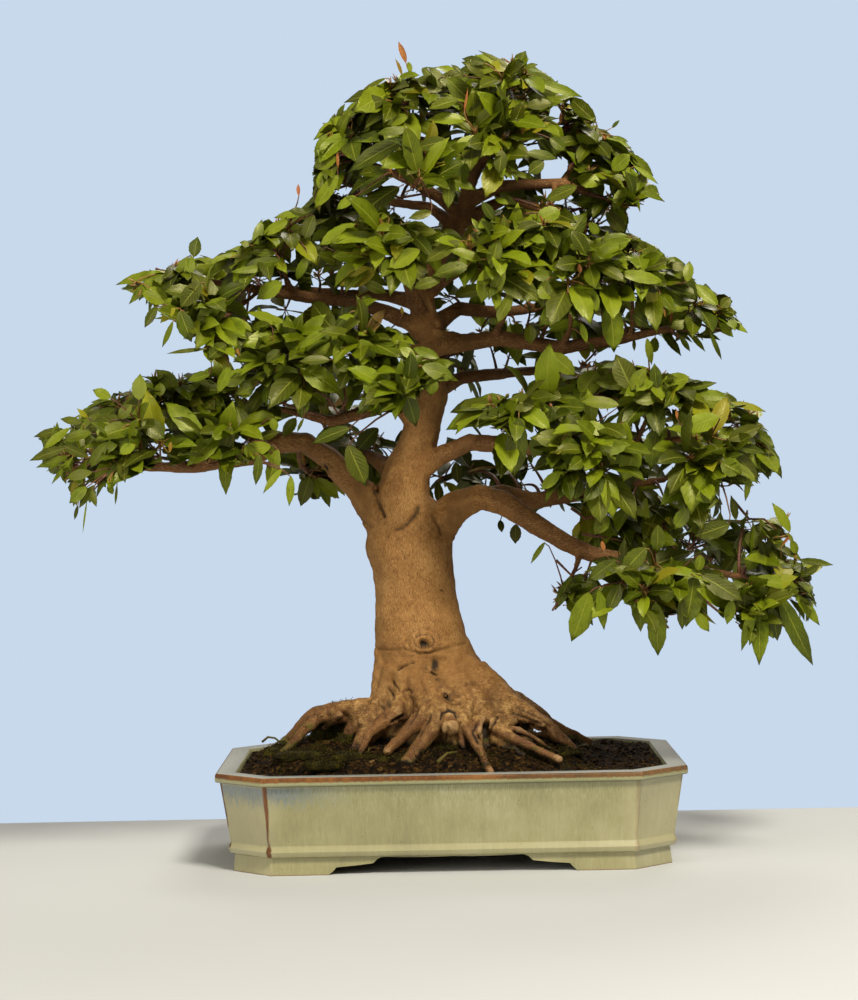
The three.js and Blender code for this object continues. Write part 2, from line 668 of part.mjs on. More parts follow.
// The leaf that grows from one face of a stem: it opens out from the stem and hangs a little.
function leafFromFace(corners, heading, outward, open, seed, attempt) {
  const root = corners.reduce((sum, p) => sum.add(p), new THREE.Vector3()).divideScalar(4);
  const angle = open + 0.12 * vary(seed + attempt);
  const sideways = new THREE.Vector3().crossVectors(heading, outward);
  const along = heading.clone().multiplyScalar(Math.cos(angle))
    .addScaledVector(outward, Math.sin(angle))
    .addScaledVector(sideways, (0.25 + 0.05 * attempt) * vary(seed + 1 + attempt))
    .addScaledVector(UP, -0.22 + (0.12 + 0.04 * attempt) * vary(seed + 2 + attempt))
    .normalize();
  const normal = UP.clone().addScaledVector(heading, 0.25).addScaledVector(sideways, 0.5 * vary(seed + 3));
  normal.addScaledVector(along, -normal.dot(along)).normalize();
  return {
    root,
    along,
    normal,
    length: LEAF_LENGTH * (1 + 0.12 * vary(seed + 4)) * (1 - 0.025 * attempt),
    width: LEAF_WIDTH * (1 + 0.1 * vary(seed + 5)) * (1 - 0.02 * attempt),
    droop: LEAF_DROOP + 0.12 * vary(seed + 6),
  };
}

// A leaf on a face, turned a little further until it stands clear of everything, or none at all.
function freeLeaf(corners, heading, outward, open, seed, thicket, owner) {
  for (let attempt = 0; attempt < LEAF_TRIES; attempt += 1) {
    const leaf = leafFromFace(corners, heading, outward, open, seed, attempt);
    const guard = leafGuard(leaf);
    if (!thicket.isFree(guard, owner)) continue;
    thicket.add(guard, `${owner} leaf`);
    return leaf;
  }
  return null;
}

// A spray: one closed body of its stem and the leaves that grow out of the stem's faces.
function buildSpray(stem, number, thicket, owner) {
  const { rings, heading } = stem;
  const positions = rings.flat();
  const index = [...CLOSED_START];
  const closeFace = ([a, b, c, d]) => index.push(a, b, c, a, c, d);
  const place = (face, outward, open, seed) => {
    const corners = face.map((k) => positions[k]);
    const leaf = freeLeaf(corners, heading, outward, open, seed, thicket, owner);
    if (leaf) growLeaf(positions, index, face, leaf);
    else closeFace(face);
  };
  const last = 4 * (rings.length - 1);
  place([0, 1, 2, 3].map((k) => last + k), UP, 0.3, number * 101);
  for (let ring = rings.length - 2; ring >= 0; ring -= 1) {
    for (let k = 0; k < 4; k += 1) {
      const next = (k + 1) % 4;
      const face = [4 * ring + k, 4 * ring + next, 4 * ring + 4 + next, 4 * ring + 4 + k];
      const node = ring % 2 === 1 ? LEAF_NODES[(ring - 1) / 2] : null;
      if (node && node.faces.includes(k)) {
        const outward = positions[face[0]].clone().add(positions[face[1]]);
        outward.sub(rings[ring][0]).sub(rings[ring][2]).normalize();
        place(face, outward, node.open, number * 101 + ring * 13 + k * 7 + 3);
      } else {
        closeFace(face);
      }
    }
  }
  return solidOf(closedGeometry(positions, index));
}

// The finish of each kind of piece.
const finishes = {
  glaze: { color: 0xa9ac84, roughness: 0.25, metalness: 0 },
  soil: { color: 0x2a221b, roughness: 0.95, metalness: 0 },
  bark: { color: 0x9a7a50, roughness: 0.85, metalness: 0 },
  leaf: { color: 0x4f6f2c, roughness: 0.4, metalness: 0 },
  mesh: { color: 0x1d1f20, roughness: 0.6, metalness: 0 },
};

function namedMesh(name, solid, finish) {
  const material = new THREE.MeshStandardMaterial(finishes[finish]);
  const mesh = new THREE.Mesh(geometryOf(solid), material);
  mesh.name = name;
  return mesh;
}

// The tree: its wood in one piece, then the sprays that its branches end in.
function buildTree() {
  const places = [];
  const wood = [rootCast(0), solidOf(taperedTube(LEADER, LEADER_SIDES))];
  const endOf = (line) => {
    const end = vector(line.at(-1));
    places.push({ end, direction: end.clone().sub(vector(line.at(-2))).normalize() });
  };
  endOf(LEADER);
  LIMBS.forEach((limb) => {
    wood.push(solidOf(taperedTube(limb.line, LIMB_SIDES)));
    endOf(limb.line);
    limb.sprays.forEach((middle) => {
      const line = branchLine(limb, vector(middle));
      wood.push(solidOf(taperedTube(line, BRANCH_SIDES)));
      endOf(line);
    });
  });
  const trunk = joined(wood);
  const thicket = new Thicket();
  thicket.add(trunk, "trunk");
  const owners = places.map((place, k) => `spray_${String(k + 1).padStart(2, "0")}`);
  const stems = places.map((place, k) => sprayStem(place, k, thicket, owners[k]));
  const sprays = stems.map((stem, k) => buildSpray(stem, k, thicket, owners[k]));
  const tree = new THREE.Group();
  tree.add(namedMesh("trunk", trunk, "bark"));
  sprays.forEach((spray, k) => tree.add(namedMesh(owners[k], spray, "leaf")));
  return tree;
}

// The pot with the mesh over its drain holes and its soil.
function buildPotGroup() {
  const group = new THREE.Group();
  group.add(namedMesh("pot", buildPot(), "glaze"));
  group.add(namedMesh("drain_mesh_left", buildDrainMesh(-DRAIN_X), "mesh"));
  group.add(namedMesh("drain_mesh_right", buildDrainMesh(DRAIN_X), "mesh"));
  group.add(namedMesh("soil", buildSoil(rootCast(GAP)), "soil"));
  return group;
}

// The origin is under the middle of the whole bonsai's outer box.
const bonsai = new THREE.Group();
bonsai.add(buildPotGroup(), buildTree());
const outerBox = new THREE.Box3().setFromObject(bonsai);
const middle = outerBox.getCenter(new THREE.Vector3());
bonsai.position.set(-middle.x, -middle.y, -outerBox.min.z);
bonsai.updateMatrixWorld(true);

export default bonsai;
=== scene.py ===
import math

import bmesh
import bpy
import numpy as np
from mathutils import Matrix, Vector
from mathutils.bvhtree import BVHTree
from mathutils.kdtree import KDTree


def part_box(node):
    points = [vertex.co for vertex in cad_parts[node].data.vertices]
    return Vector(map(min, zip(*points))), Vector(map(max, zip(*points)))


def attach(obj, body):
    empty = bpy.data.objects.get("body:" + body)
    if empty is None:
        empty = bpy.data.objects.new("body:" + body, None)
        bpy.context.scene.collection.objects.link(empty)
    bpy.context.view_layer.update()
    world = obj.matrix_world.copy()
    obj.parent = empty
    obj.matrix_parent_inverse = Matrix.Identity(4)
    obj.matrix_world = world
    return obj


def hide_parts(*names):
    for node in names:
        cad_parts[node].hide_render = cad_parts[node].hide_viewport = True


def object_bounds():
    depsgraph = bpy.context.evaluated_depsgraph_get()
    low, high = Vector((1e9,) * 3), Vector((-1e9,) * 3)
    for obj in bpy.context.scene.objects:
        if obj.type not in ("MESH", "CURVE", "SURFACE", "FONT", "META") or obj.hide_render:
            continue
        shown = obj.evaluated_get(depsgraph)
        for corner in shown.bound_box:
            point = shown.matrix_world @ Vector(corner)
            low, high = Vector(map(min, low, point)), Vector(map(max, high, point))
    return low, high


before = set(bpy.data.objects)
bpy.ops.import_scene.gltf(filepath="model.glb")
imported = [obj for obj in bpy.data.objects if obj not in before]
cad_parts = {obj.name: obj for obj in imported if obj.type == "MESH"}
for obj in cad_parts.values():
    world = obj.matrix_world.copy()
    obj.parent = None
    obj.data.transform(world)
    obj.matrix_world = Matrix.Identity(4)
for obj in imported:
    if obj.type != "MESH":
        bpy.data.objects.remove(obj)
cad_low, cad_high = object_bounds()

# Lengths are in millimetres, from the middle of the pot's foot with Z up, unless a comment gives metres.
MM = 0.001
pot_low, pot_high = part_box("pot")
POT_MIDDLE = np.array([(pot_low.x + pot_high.x) / 2, (pot_low.y + pot_high.y) / 2, pot_low.z])
POT_WIDTH = (pot_high.x - pot_low.x) / MM
POT_DEPTH = (pot_high.y - pot_low.y) / MM


def to_millimetres(points):
    """Places in the frame as millimetres from the middle of the pot's foot."""
    return (np.asarray(points, float) - POT_MIDDLE) / MM


def to_frame(points):
    """Places in millimetres as the frame's metres."""
    return np.asarray(points, float) * MM + POT_MIDDLE


# The room that the leaves have: the solids' box, less a margin
ROOM_MARGIN = 0.2
ROOM_LOW = to_millimetres(cad_low) + ROOM_MARGIN
ROOM_HIGH = to_millimetres(cad_high) - ROOM_MARGIN


# The camera, as fitted to the pot's corners in the photograph
CAMERA_PLACE = np.array([-17.4, -2800, 420.1])
CAMERA_PITCH = math.radians(1.0)
CAMERA_ROLL = math.radians(1.08)
FOCAL_PIXELS = 2652
PICTURE_WIDTH = 858
PICTURE_HEIGHT = 1000
SENSOR = 36
# The nearest and farthest that the camera sees, in metres
CLIP = (0.05, 50)


def placed(name, data):
    """A new object in the scene."""
    made = bpy.data.objects.new(name, data)
    bpy.context.scene.collection.objects.link(made)
    return made


def camera_axes():
    """The picture's right and upward directions, and the way back out of it."""
    pitch_cos, pitch_sin = math.cos(CAMERA_PITCH), math.sin(CAMERA_PITCH)
    roll_cos, roll_sin = math.cos(CAMERA_ROLL), math.sin(CAMERA_ROLL)
    right = np.array([1, 0, 0])
    forward = np.array([0, pitch_cos, -pitch_sin])
    up = np.array([0, pitch_sin, pitch_cos])
    return np.array([right * roll_cos - up * roll_sin, right * roll_sin + up * roll_cos, -forward])


CAMERA_AXES = camera_axes()


def make_camera():
    turn = Matrix(CAMERA_AXES.T.tolist()).to_4x4()
    lens = bpy.data.cameras.new("camera")
    lens.sensor_width = SENSOR
    lens.lens = FOCAL_PIXELS * SENSOR / PICTURE_HEIGHT
    lens.clip_start, lens.clip_end = CLIP
    camera = placed("camera", lens)
    camera.matrix_world = Matrix.Translation(to_frame(CAMERA_PLACE)) @ turn
    bpy.context.scene.camera = camera


# Places that were read off the photograph are given as its columns and rows. The camera turns them
# into millimetres at the depth at which they stand.
def seen_at(column, row, depth):
    """The point at a depth that the camera sees at a column and row of its picture."""
    steps = np.array([column - PICTURE_WIDTH / 2, PICTURE_HEIGHT / 2 - row, -FOCAL_PIXELS])
    sight = steps @ CAMERA_AXES
    return CAMERA_PLACE + sight * (depth - CAMERA_PLACE[1]) / sight[1]


def picture_place(points):
    """The column and row of the picture at which the camera sees each point."""
    across, rise, back = ((points - CAMERA_PLACE) @ CAMERA_AXES.T).T
    return PICTURE_WIDTH / 2 - FOCAL_PIXELS * across / back, PICTURE_HEIGHT / 2 + FOCAL_PIXELS * rise / back


# Repeatable noise
def lattice(cells, seed):
    """A repeatable number from 0 to 1 for each whole-number place, mixed from it by large primes."""
    mixed = cells[..., 0] * 73856093 ^ cells[..., 1] * 19349663 ^ cells[..., 2] * 83492791 ^ seed * 2654435
    mixed = (mixed ^ mixed >> 13) * 1274126177 & 0x7FFFFFFF
    return (mixed >> 7 & 0xFFFF) / 65535


def soft_noise(points, size, seed=0):
    """Smooth noise from -1 to 1, with lumps of a size in millimetres along each axis."""
    scaled = np.asarray(points, float) / size
    cells = np.floor(scaled).astype(np.int64)
    part = scaled - cells
    part = part * part * (3 - 2 * part)
    total = np.zeros(len(scaled))
    for corner in np.ndindex(2, 2, 2):
        step = np.array(corner)
        weight = np.prod(np.where(step, part, 1 - part), axis=1)
        total += weight * lattice(cells + step, seed)
    return 2 * total - 1


def layered_noise(points, size, seed=0, layers=3):
    """Noise with finer and fainter layers on it, each half the size of the one before."""
    total = np.zeros(len(points))
    for layer in range(layers):
        total += soft_noise(points, np.asarray(size, float) / 2**layer, seed + layer) / 2**layer
    return total


def smooth_step(values, low, high):
    """0 at low and 1 at high, smooth between them; low may be the larger."""
    share = np.clip((values - low) / (high - low), 0, 1)
    return share * share * (3 - 2 * share)


def unit(vectors):
    """The vectors at a length of 1."""
    vectors = np.asarray(vectors, float)
    return vectors / np.maximum(np.linalg.norm(vectors, axis=-1, keepdims=True), 1e-9)


# Shader kit
def tone(code):
    """A colour from its usual six-figure code, in the linear values that shaders use."""
    parts = [int(code[k : k + 2], 16) / 255 for k in (0, 2, 4)]
    linear = [p / 12.92 if p <= 0.04045 else ((p + 0.055) / 1.055) ** 2.4 for p in parts]
    return (*linear, 1.0)


class Value:
    """A shader socket. Sums and products of it add Math nodes to its material."""

    def __init__(self, paint, socket):
        self.paint = paint
        self.socket = socket

    def __add__(self, other):
        return self.paint.maths("ADD", self, other)

    def __sub__(self, other):
        return self.paint.maths("SUBTRACT", self, other)

    def __rsub__(self, other):
        return self.paint.maths("SUBTRACT", other, self)

    def __mul__(self, other):
        return self.paint.maths("MULTIPLY", self, other)

    def __pow__(self, other):
        return self.paint.maths("POWER", self, other)

    def __abs__(self):
        return self.paint.maths("ABSOLUTE", self)

    __radd__ = __add__
    __rmul__ = __mul__


class Paint:
    """Builds one procedural material."""

    def __init__(self, name):
        self.material = bpy.data.materials.new(name)
        self.material.use_nodes = True
        self.tree = self.material.node_tree
        self.tree.nodes.clear()

    def node(self, kind, settings, inputs, output=0):
        """Adds a node: its settings first, then the values, colour codes or links of its sockets."""
        made = self.tree.nodes.new(kind)
        for key, setting in settings.items():
            if key == "stops":
                set_stops(made.color_ramp, setting)
            else:
                setattr(made, key, setting)
        for key, given in inputs.items():
            if isinstance(given, Value):
                self.tree.links.new(given.socket, made.inputs[key])
            else:
                made.inputs[key].default_value = tone(given) if isinstance(given, str) else given
        return Value(self, made.outputs[output]) if made.outputs else None

    def maths(self, operation, *values):
        """Sums and the like on numbers."""
        return self.node("ShaderNodeMath", {"operation": operation}, dict(enumerate(values)))

    def mix(self, factor, first, second, blend="MIX"):
        """Mixes two colours."""
        settings = {"data_type": "RGBA", "blend_type": blend}
        return self.node("ShaderNodeMix", settings, {0: factor, 6: first, 7: second}, 2)

    def vector(self, operation, *values):
        """The same on vectors."""
        return self.node("ShaderNodeVectorMath", {"operation": operation}, dict(enumerate(values)))

    def between(self, value, low, high):
        """0 below low and 1 above high, smooth between them; low may be the larger."""
        settings = {"interpolation_type": "SMOOTHSTEP"}
        if low < high:
            return self.node("ShaderNodeMapRange", settings, {0: value, 1: low, 2: high})
        return self.node("ShaderNodeMapRange", settings, {0: value, 1: high, 2: low, 3: 1.0, 4: 0.0})

    def attribute(self, name):
        return self.node("ShaderNodeAttribute", {"attribute_name": name}, {}, "Vector")

    def split(self, vector):
        return [self.node("ShaderNodeSeparateXYZ", {}, {0: vector}, k) for k in range(3)]

    def place(self):
        """The painted point in millimetres from the middle of the pot's foot."""
        coordinates = self.node("ShaderNodeTexCoord", {}, {}, "Object")
        shifted = self.vector("SUBTRACT", coordinates, tuple(POT_MIDDLE))
        return self.node("ShaderNodeVectorMath", {"operation": "SCALE"}, {0: shifted, "Scale": 1 / MM})

    def stretched(self, vector, scale):
        return self.vector("MULTIPLY", vector, scale)

    def noise(self, vector, scale, detail=3.0, roughness=0.55, output="Fac"):
        inputs = {"Vector": vector, "Scale": scale, "Detail": detail, "Roughness": roughness}
        return self.node("ShaderNodeTexNoise", {}, inputs, output)

    def cells(self, vector, scale, output="Distance", feature="F1"):
        inputs = {"Vector": vector, "Scale": scale}
        return self.node("ShaderNodeTexVoronoi", {"feature": feature}, inputs, output)

    def ramp(self, factor, stops):
        return self.node("ShaderNodeValToRGB", {"stops": stops}, {0: factor})

    def bump(self, height, distance, strength=1.0):
        """Relief in the surface; its distance is in metres."""
        inputs = {"Height": height, "Distance": distance, "Strength": strength}
        return self.node("ShaderNodeBump", {}, inputs)

    def finish(self, colour, roughness, normal, **constants):
        """The Principled shader with what varies linked and the rest set on its sockets."""
        inputs = {"Base Color": colour, "Roughness": roughness, "Normal": normal}
        for key, value in constants.items():
            inputs[key.replace("_", " ").title().replace("Ior", "IOR")] = value
        return self.node("ShaderNodeBsdfPrincipled", {}, inputs)

    def show(self, shader):
        self.node("ShaderNodeOutputMaterial", {}, {"Surface": shader})
        return self.material


def set_stops(ramp, stops):
    """Gives a colour ramp its stops, each a position and a colour code."""
    while len(ramp.elements) > 1:
        ramp.elements.remove(ramp.elements[-1])
    ramp.elements[0].position = stops[0][0]
    ramp.elements[0].color = tone(stops[0][1])
    for position, code in stops[1:]:
        ramp.elements.new(position).color = tone(code)


def bark_paint():
    """Smooth tan bark with short dark flecks along the grain; roots are mottled and mossy."""
    paint = Paint("bark")
    grain = paint.attribute("grain")
    spot = paint.place()
    thick, painted_shading, damp = paint.split(paint.attribute("wood_marks"))
    height = paint.split(spot)[2]
    cloud = paint.noise(spot, 0.022, 3.0)
    patch = paint.noise(spot, 0.14, 4.0, 0.65)
    dash = paint.noise(paint.stretched(grain, (1.0, 1.0, 0.2)), 1.5, 2.0, 0.5)
    fine = paint.noise(paint.stretched(grain, (1.0, 1.0, 0.45)), 2.0, 2.0, 0.6)
    mottle = paint.between(cloud * 0.3 + patch * 0.2 + fine * 0.5, 0.34, 0.66)
    old = paint.ramp(mottle, [(0.0, "6F461E"), (0.4, "8A602D"), (0.7, "9C713B"), (1.0, "B08852")])
    root = paint.ramp(paint.between(patch * 0.7 + fine * 0.3, 0.34, 0.66), [
        (0.0, "402711"), (0.4, "6D4D22"), (0.7, "8D6A39"), (1.0, "B6955C"),
    ])
    young = paint.ramp(mottle, [(0.0, "40260F"), (0.5, "68431E"), (1.0, "875C2E")])
    rooted = paint.between(height, 196.0, 150.0)
    colour = paint.mix(rooted * 0.75, old, root)
    colour = paint.mix(paint.between(thick, 30.0, 9.0), colour, young)
    fleck = paint.between(paint.noise(paint.stretched(grain, (1.0, 1.0, 0.3)), 0.42, 1.0), 0.36, 0.3)
    colour = paint.mix(paint.between(dash, 0.5, 0.34) * 0.36, colour, "4E2E12")
    colour = paint.mix(paint.between(dash, 0.52, 0.68) * 0.26, colour, "CCA670")
    colour = paint.mix(fleck * 0.45, colour, "4A2C12")
    stain = paint.between(paint.noise(spot, 0.05, 3.0, 0.6), 0.5, 0.66) * rooted
    colour = paint.mix(stain * 0.5, colour, "4A2A12")
    # Painted highlight on the ridges of the flare and roots
    colour = paint.mix(paint.between(painted_shading, -0.05, -0.9) * 0.5, colour, "C8A676")
    # Painted shade in recesses, folds and slits, and darker close to the soil
    colour = paint.mix(paint.between(painted_shading, 0.06, 0.8) * 0.94, colour, "140B04")
    green = paint.between(patch * 0.9 + damp, 0.62, 0.78)
    colour = paint.mix(green * 0.85, colour, paint.mix(fine, "2E3309", "626018"))
    roughness = 0.66 + fine * 0.2
    relief = paint.bump(dash * 0.35 + fine * 0.4 + patch * 0.6, 0.001, 0.8)
    return paint.show(paint.finish(colour, roughness, relief, specular_ior_level=0.35))


def leaf_paint():
    """Glossy green blades with pale veins; young ones are bronze and old ones yellow or tan."""
    paint = Paint("leaf")
    along, across, under = paint.split(paint.attribute("leaf_place"))
    shade, yellow, young = paint.split(paint.attribute("leaf_tint"))
    side = abs(across)
    midrib = paint.between(side, 0.085, 0.02)
    rise = along * 8.5 - side * 2.4 + paint.between(across, -0.01, 0.01) * 0.5
    vein = paint.between(abs(paint.maths("FRACT", rise) - 0.5), 0.13, 0.03) * paint.between(side, 1.0, 0.7)
    mottle = paint.noise(paint.place(), 0.09, 3.0, 0.6)
    depth = paint.between(shade + (mottle - 0.5) * 0.7, 0.0, 1.0)
    blade = paint.ramp(depth, [(0.0, "2C3803"), (0.35, "445203"), (0.7, "5C6C05"), (1.0, "788814")])
    blade = paint.mix(yellow * 0.75, blade, "A89A20")
    blade = paint.mix(vein * 0.2, blade, "8A9428")
    blade = paint.mix(midrib * 0.5, blade, "9CA038")
    blade = paint.mix(paint.between(young, 0.05, 1.0), blade, "A8623A")
    blade = paint.mix(paint.between(young, -0.05, -1.0), blade, "A8834A")
    blade = paint.mix(under * 0.35, blade, "66701A")
    roughness = 0.3 + under * 0.25 + mottle * 0.18
    height = (midrib * 0.5 + vein * 0.3) * -1.0 + mottle * 0.3
    relief = paint.bump(height, 0.0006, 0.7)
    gloss = paint.finish(blade, roughness, relief, specular_ior_level=0.5, specular_tint="F4F0BC")
    through = paint.node("ShaderNodeBsdfTranslucent", {}, {"Color": "6A8208"})
    return paint.show(paint.node("ShaderNodeMixShader", {}, {0: 0.1, 1: gloss, 2: through}))


def twig_paint():
    """Young wood and leaf stalks: brown below, red-brown and green-gold toward the leaves."""
    paint = Paint("twig")
    spot = paint.place()
    young = paint.split(paint.attribute("leaf_tint"))[2]
    mottle = paint.noise(spot, 0.25, 3.0, 0.6)
    wood = paint.ramp(mottle, [(0.3, "3E2617"), (0.55, "6B4028"), (0.8, "8F6440")])
    stalk = paint.ramp(mottle, [(0.3, "7C4A24"), (0.6, "9C7A38"), (0.8, "8D8A3E")])
    colour = paint.mix(paint.between(young, 0.2, 0.9), wood, stalk)
    return paint.show(paint.finish(colour, 0.5 + mottle * 0.2, paint.bump(mottle, 0.0004)))


# The pot's corner cut, and the heights of its foot, belt and lip
CORNER_CUT = 50
FOOT_TOP_Z = 20
BELT_Z = 25
LIP_LOW_Z = 91
LIP_MIDDLE_Z = 93


def glaze_paint():
    """Celadon glaze that ran down in streaks and thinned to iron brown on the rim and arrises."""
    paint = Paint("glaze")
    spot = paint.place()
    x, y, z = paint.split(spot)
    streak = paint.noise(paint.stretched(spot, (1.0, 1.0, 0.05)), 0.22, 4.0, 0.6)
    thread = paint.noise(paint.stretched(spot, (1.0, 1.0, 0.07)), 0.9, 3.0, 0.6)
    cloud = paint.noise(spot, 0.014, 3.0, 0.5)
    fine = paint.noise(spot, 0.8, 2.0, 0.5)
    near_lip = paint.between(z, 56.0, 90.0)
    flow = cloud * 0.62 + streak * 0.2 + thread * 0.18 + (thread - 0.5) * near_lip * 0.5
    body = paint.ramp(paint.between(flow, 0.28, 0.74), [
        (0.0, "86815E"), (0.45, "9B966C"), (0.75, "A6A17A"), (1.0, "B4B192"),
    ])
    body = paint.mix(near_lip * 0.3, body, "8F9468")
    belt = paint.between(abs(z - BELT_Z), 7.0, 2.0)
    half_width = POT_WIDTH / 2
    half_depth = POT_DEPTH / 2
    corner = paint.between(abs(x) + abs(y), half_width + half_depth - 84, half_width + half_depth - 66)
    # Painted highlight: paler on the belt, where it catches the light
    body = paint.mix(belt * 0.35, body, "B4B08C")
    # Painted light: the corner cuts made paler, as the light falls on them
    body = paint.mix(corner * 0.4, body, "B8B08A")
    low_lip = paint.between(abs(z - LIP_MIDDLE_Z), 3.4, 2.2)
    body = paint.mix(low_lip * 0.55, body, paint.mix(fine, "6F7048", "A3A680"))
    # Painted shadow: a thin dark line under the lip
    body = paint.mix(paint.between(abs(z - LIP_LOW_Z), 1.3, 0.3) * 0.55, body, "3A3420")

    # The blue-grey run near the rim's left end, ragged where it drips
    ragged = (thread - 0.5) * 44.0 + (streak - 0.5) * 34.0
    run = paint.between(z + ragged, 66.0, 84.0) * paint.between(z, LIP_LOW_Z, 88.0)
    run = run * paint.between(x, -92.0, -176.0) * paint.between(y, 40.0, -60.0)
    body = paint.mix(run * 0.8, body, paint.mix(thread, "39454C", "8A99A0"))

    # Iron brown where the glaze is thin
    inset = paint.node("ShaderNodeMapRange", {}, {0: z, 1: FOOT_TOP_Z, 2: LIP_LOW_Z, 3: 14.0, 4: 5.0})
    far_x = half_width - abs(x) - inset
    far_y = half_depth - abs(y) - inset
    cut = CORNER_CUT - inset * (2 - math.sqrt(2))
    long_arris = paint.maths("SQRT", far_y ** 2.0 + (far_x - cut) ** 2.0)
    end_arris = paint.maths("SQRT", far_x ** 2.0 + (far_y - cut) ** 2.0)
    arris = paint.maths("MINIMUM", long_arris, end_arris) + (streak - 0.5) * 5.0
    worn = 0.3 + paint.between(x, 60.0, -120.0) * 0.7
    arris = paint.between(arris, 3.4, 1.9) * paint.between(z, 99.0, 95.0) * worn
    arris = arris * paint.between(paint.noise(spot, 0.05, 2.0), 0.3, 0.45)
    inside = paint.maths("MAXIMUM", abs(x) - half_width, abs(y) - half_depth)
    slant = (abs(x) - half_width + abs(y) - half_depth + CORNER_CUT) * math.sqrt(0.5)
    rim_in = paint.maths("MAXIMUM", inside, slant) * -1.0
    lip = paint.between(z + (fine - 0.5) * 3.0 + (streak - 0.5) * 4.0, 94.2, 96.0)
    lip = lip * paint.between(rim_in, 3.6, 1.8)
    iron = paint.maths("MAXIMUM", lip * (0.86 + paint.between(x, 200.0, -60.0) * 0.14), arris)
    rust = paint.ramp(streak * 0.4 + cloud * 0.6, [(0.36, "422408"), (0.5, "683C10"), (0.62, "8A5A26")])
    body = paint.mix(iron, body, rust)
    # Painted highlight: the rim's top pale grey, where it faces up to the light
    top = paint.between(z, 98.6, 99.6) * paint.between(rim_in, 1.6, 3.0)
    body = paint.mix(top * 0.85, body, paint.mix(streak, "8F979B", "C3CAC6"))

    # Pin-holes and dark specks
    pits = paint.between(paint.cells(spot, 0.16), 0.11, 0.06)
    pits = pits * paint.between(paint.noise(spot, 0.05, 1.0), 0.5, 0.6)
    specks = paint.between(paint.noise(spot, 1.3, 1.0), 0.62, 0.7) * low_lip * 0.7
    pits = paint.maths("MAXIMUM", pits, specks)
    body = paint.mix(pits * 0.8, body, "2C2A1E")
    bare = paint.between(z, 1.2, 0.3)
    body = paint.mix(bare, body, "7A5A3C")
    inner = paint.between(rim_in, 21.5, 23.5) * paint.between(z, 97.0, 95.0)
    body = paint.mix(inner * 0.7, body, "6B5A40")
    roughness = 0.26 + bare * 0.5 + pits * 0.3 + iron * 0.08
    relief = paint.bump(streak * 0.35 + cloud * 0.9 - pits * 0.6 + fine * 0.05, 0.0012, 0.5)
    return paint.show(paint.finish(body, roughness, relief, coat_weight=0.25, coat_roughness=0.08))


def soil_paint():
    """Dark damp crumbs, a few of them pale grit."""
    paint = Paint("soil")
    spot = paint.place()
    crumb = paint.cells(spot, 0.3, "Color")
    tint = paint.split(crumb)[0]
    dust = paint.noise(spot, 0.5, 4.0, 0.7)
    colour = paint.ramp(tint * 0.6 + dust * 0.4, [
        (0.25, "0C0702"), (0.55, "211507"), (0.75, "3C290E"), (0.95, "7A5E32"),
    ])
    relief = paint.bump(paint.cells(spot, 0.45) * -1.0 + dust * 0.5, 0.0015)
    return paint.show(paint.finish(colour, 0.8 + dust * 0.15, relief, specular_ior_level=0.1))


def moss_paint():
    """Short moss, from yellow-green tips to dark green and brown below."""
    paint = Paint("moss")
    tip, dry, _ = paint.split(paint.attribute("leaf_tint"))
    spot = paint.place()
    patch = paint.noise(spot, 0.1, 3.0, 0.6)
    fuzz = paint.noise(spot, 0.9, 3.0, 0.7)
    depth = tip * 0.7 + (fuzz - 0.5) * 1.3 + (patch - 0.5) * 0.8
    colour = paint.ramp(depth, [(0.0, "0E0B02"), (0.35, "332E07"), (0.7, "685E0E"), (1.0, "9E9226")])
    colour = paint.mix(dry, colour, "6E5A22")
    shader = paint.finish(colour, 0.85 + patch * 0.1, paint.bump(fuzz, 0.001), specular_ior_level=0.15)
    return paint.show(shader)


def drain_mesh_paint():
    """Black plastic netting, scuffed grey."""
    paint = Paint("drain_mesh")
    scuff = paint.noise(paint.place(), 0.6, 4.0, 0.6)
    colour = paint.ramp(scuff, [(0.35, "16181A"), (0.75, "3C3E3E")])
    return paint.show(paint.finish(colour, 0.45 + scuff * 0.3, paint.bump(scuff, 0.0002)))


def floor_paint():
    """Plain pale cloth grey."""
    paint = Paint("floor")
    weave = paint.noise(paint.place(), 0.004, 2.0)
    colour = paint.mix(weave * 0.4, "C8CBCC", "BEC3C6")
    return paint.show(paint.finish(colour, 0.85, paint.bump(weave, 0.001, 0.1)))


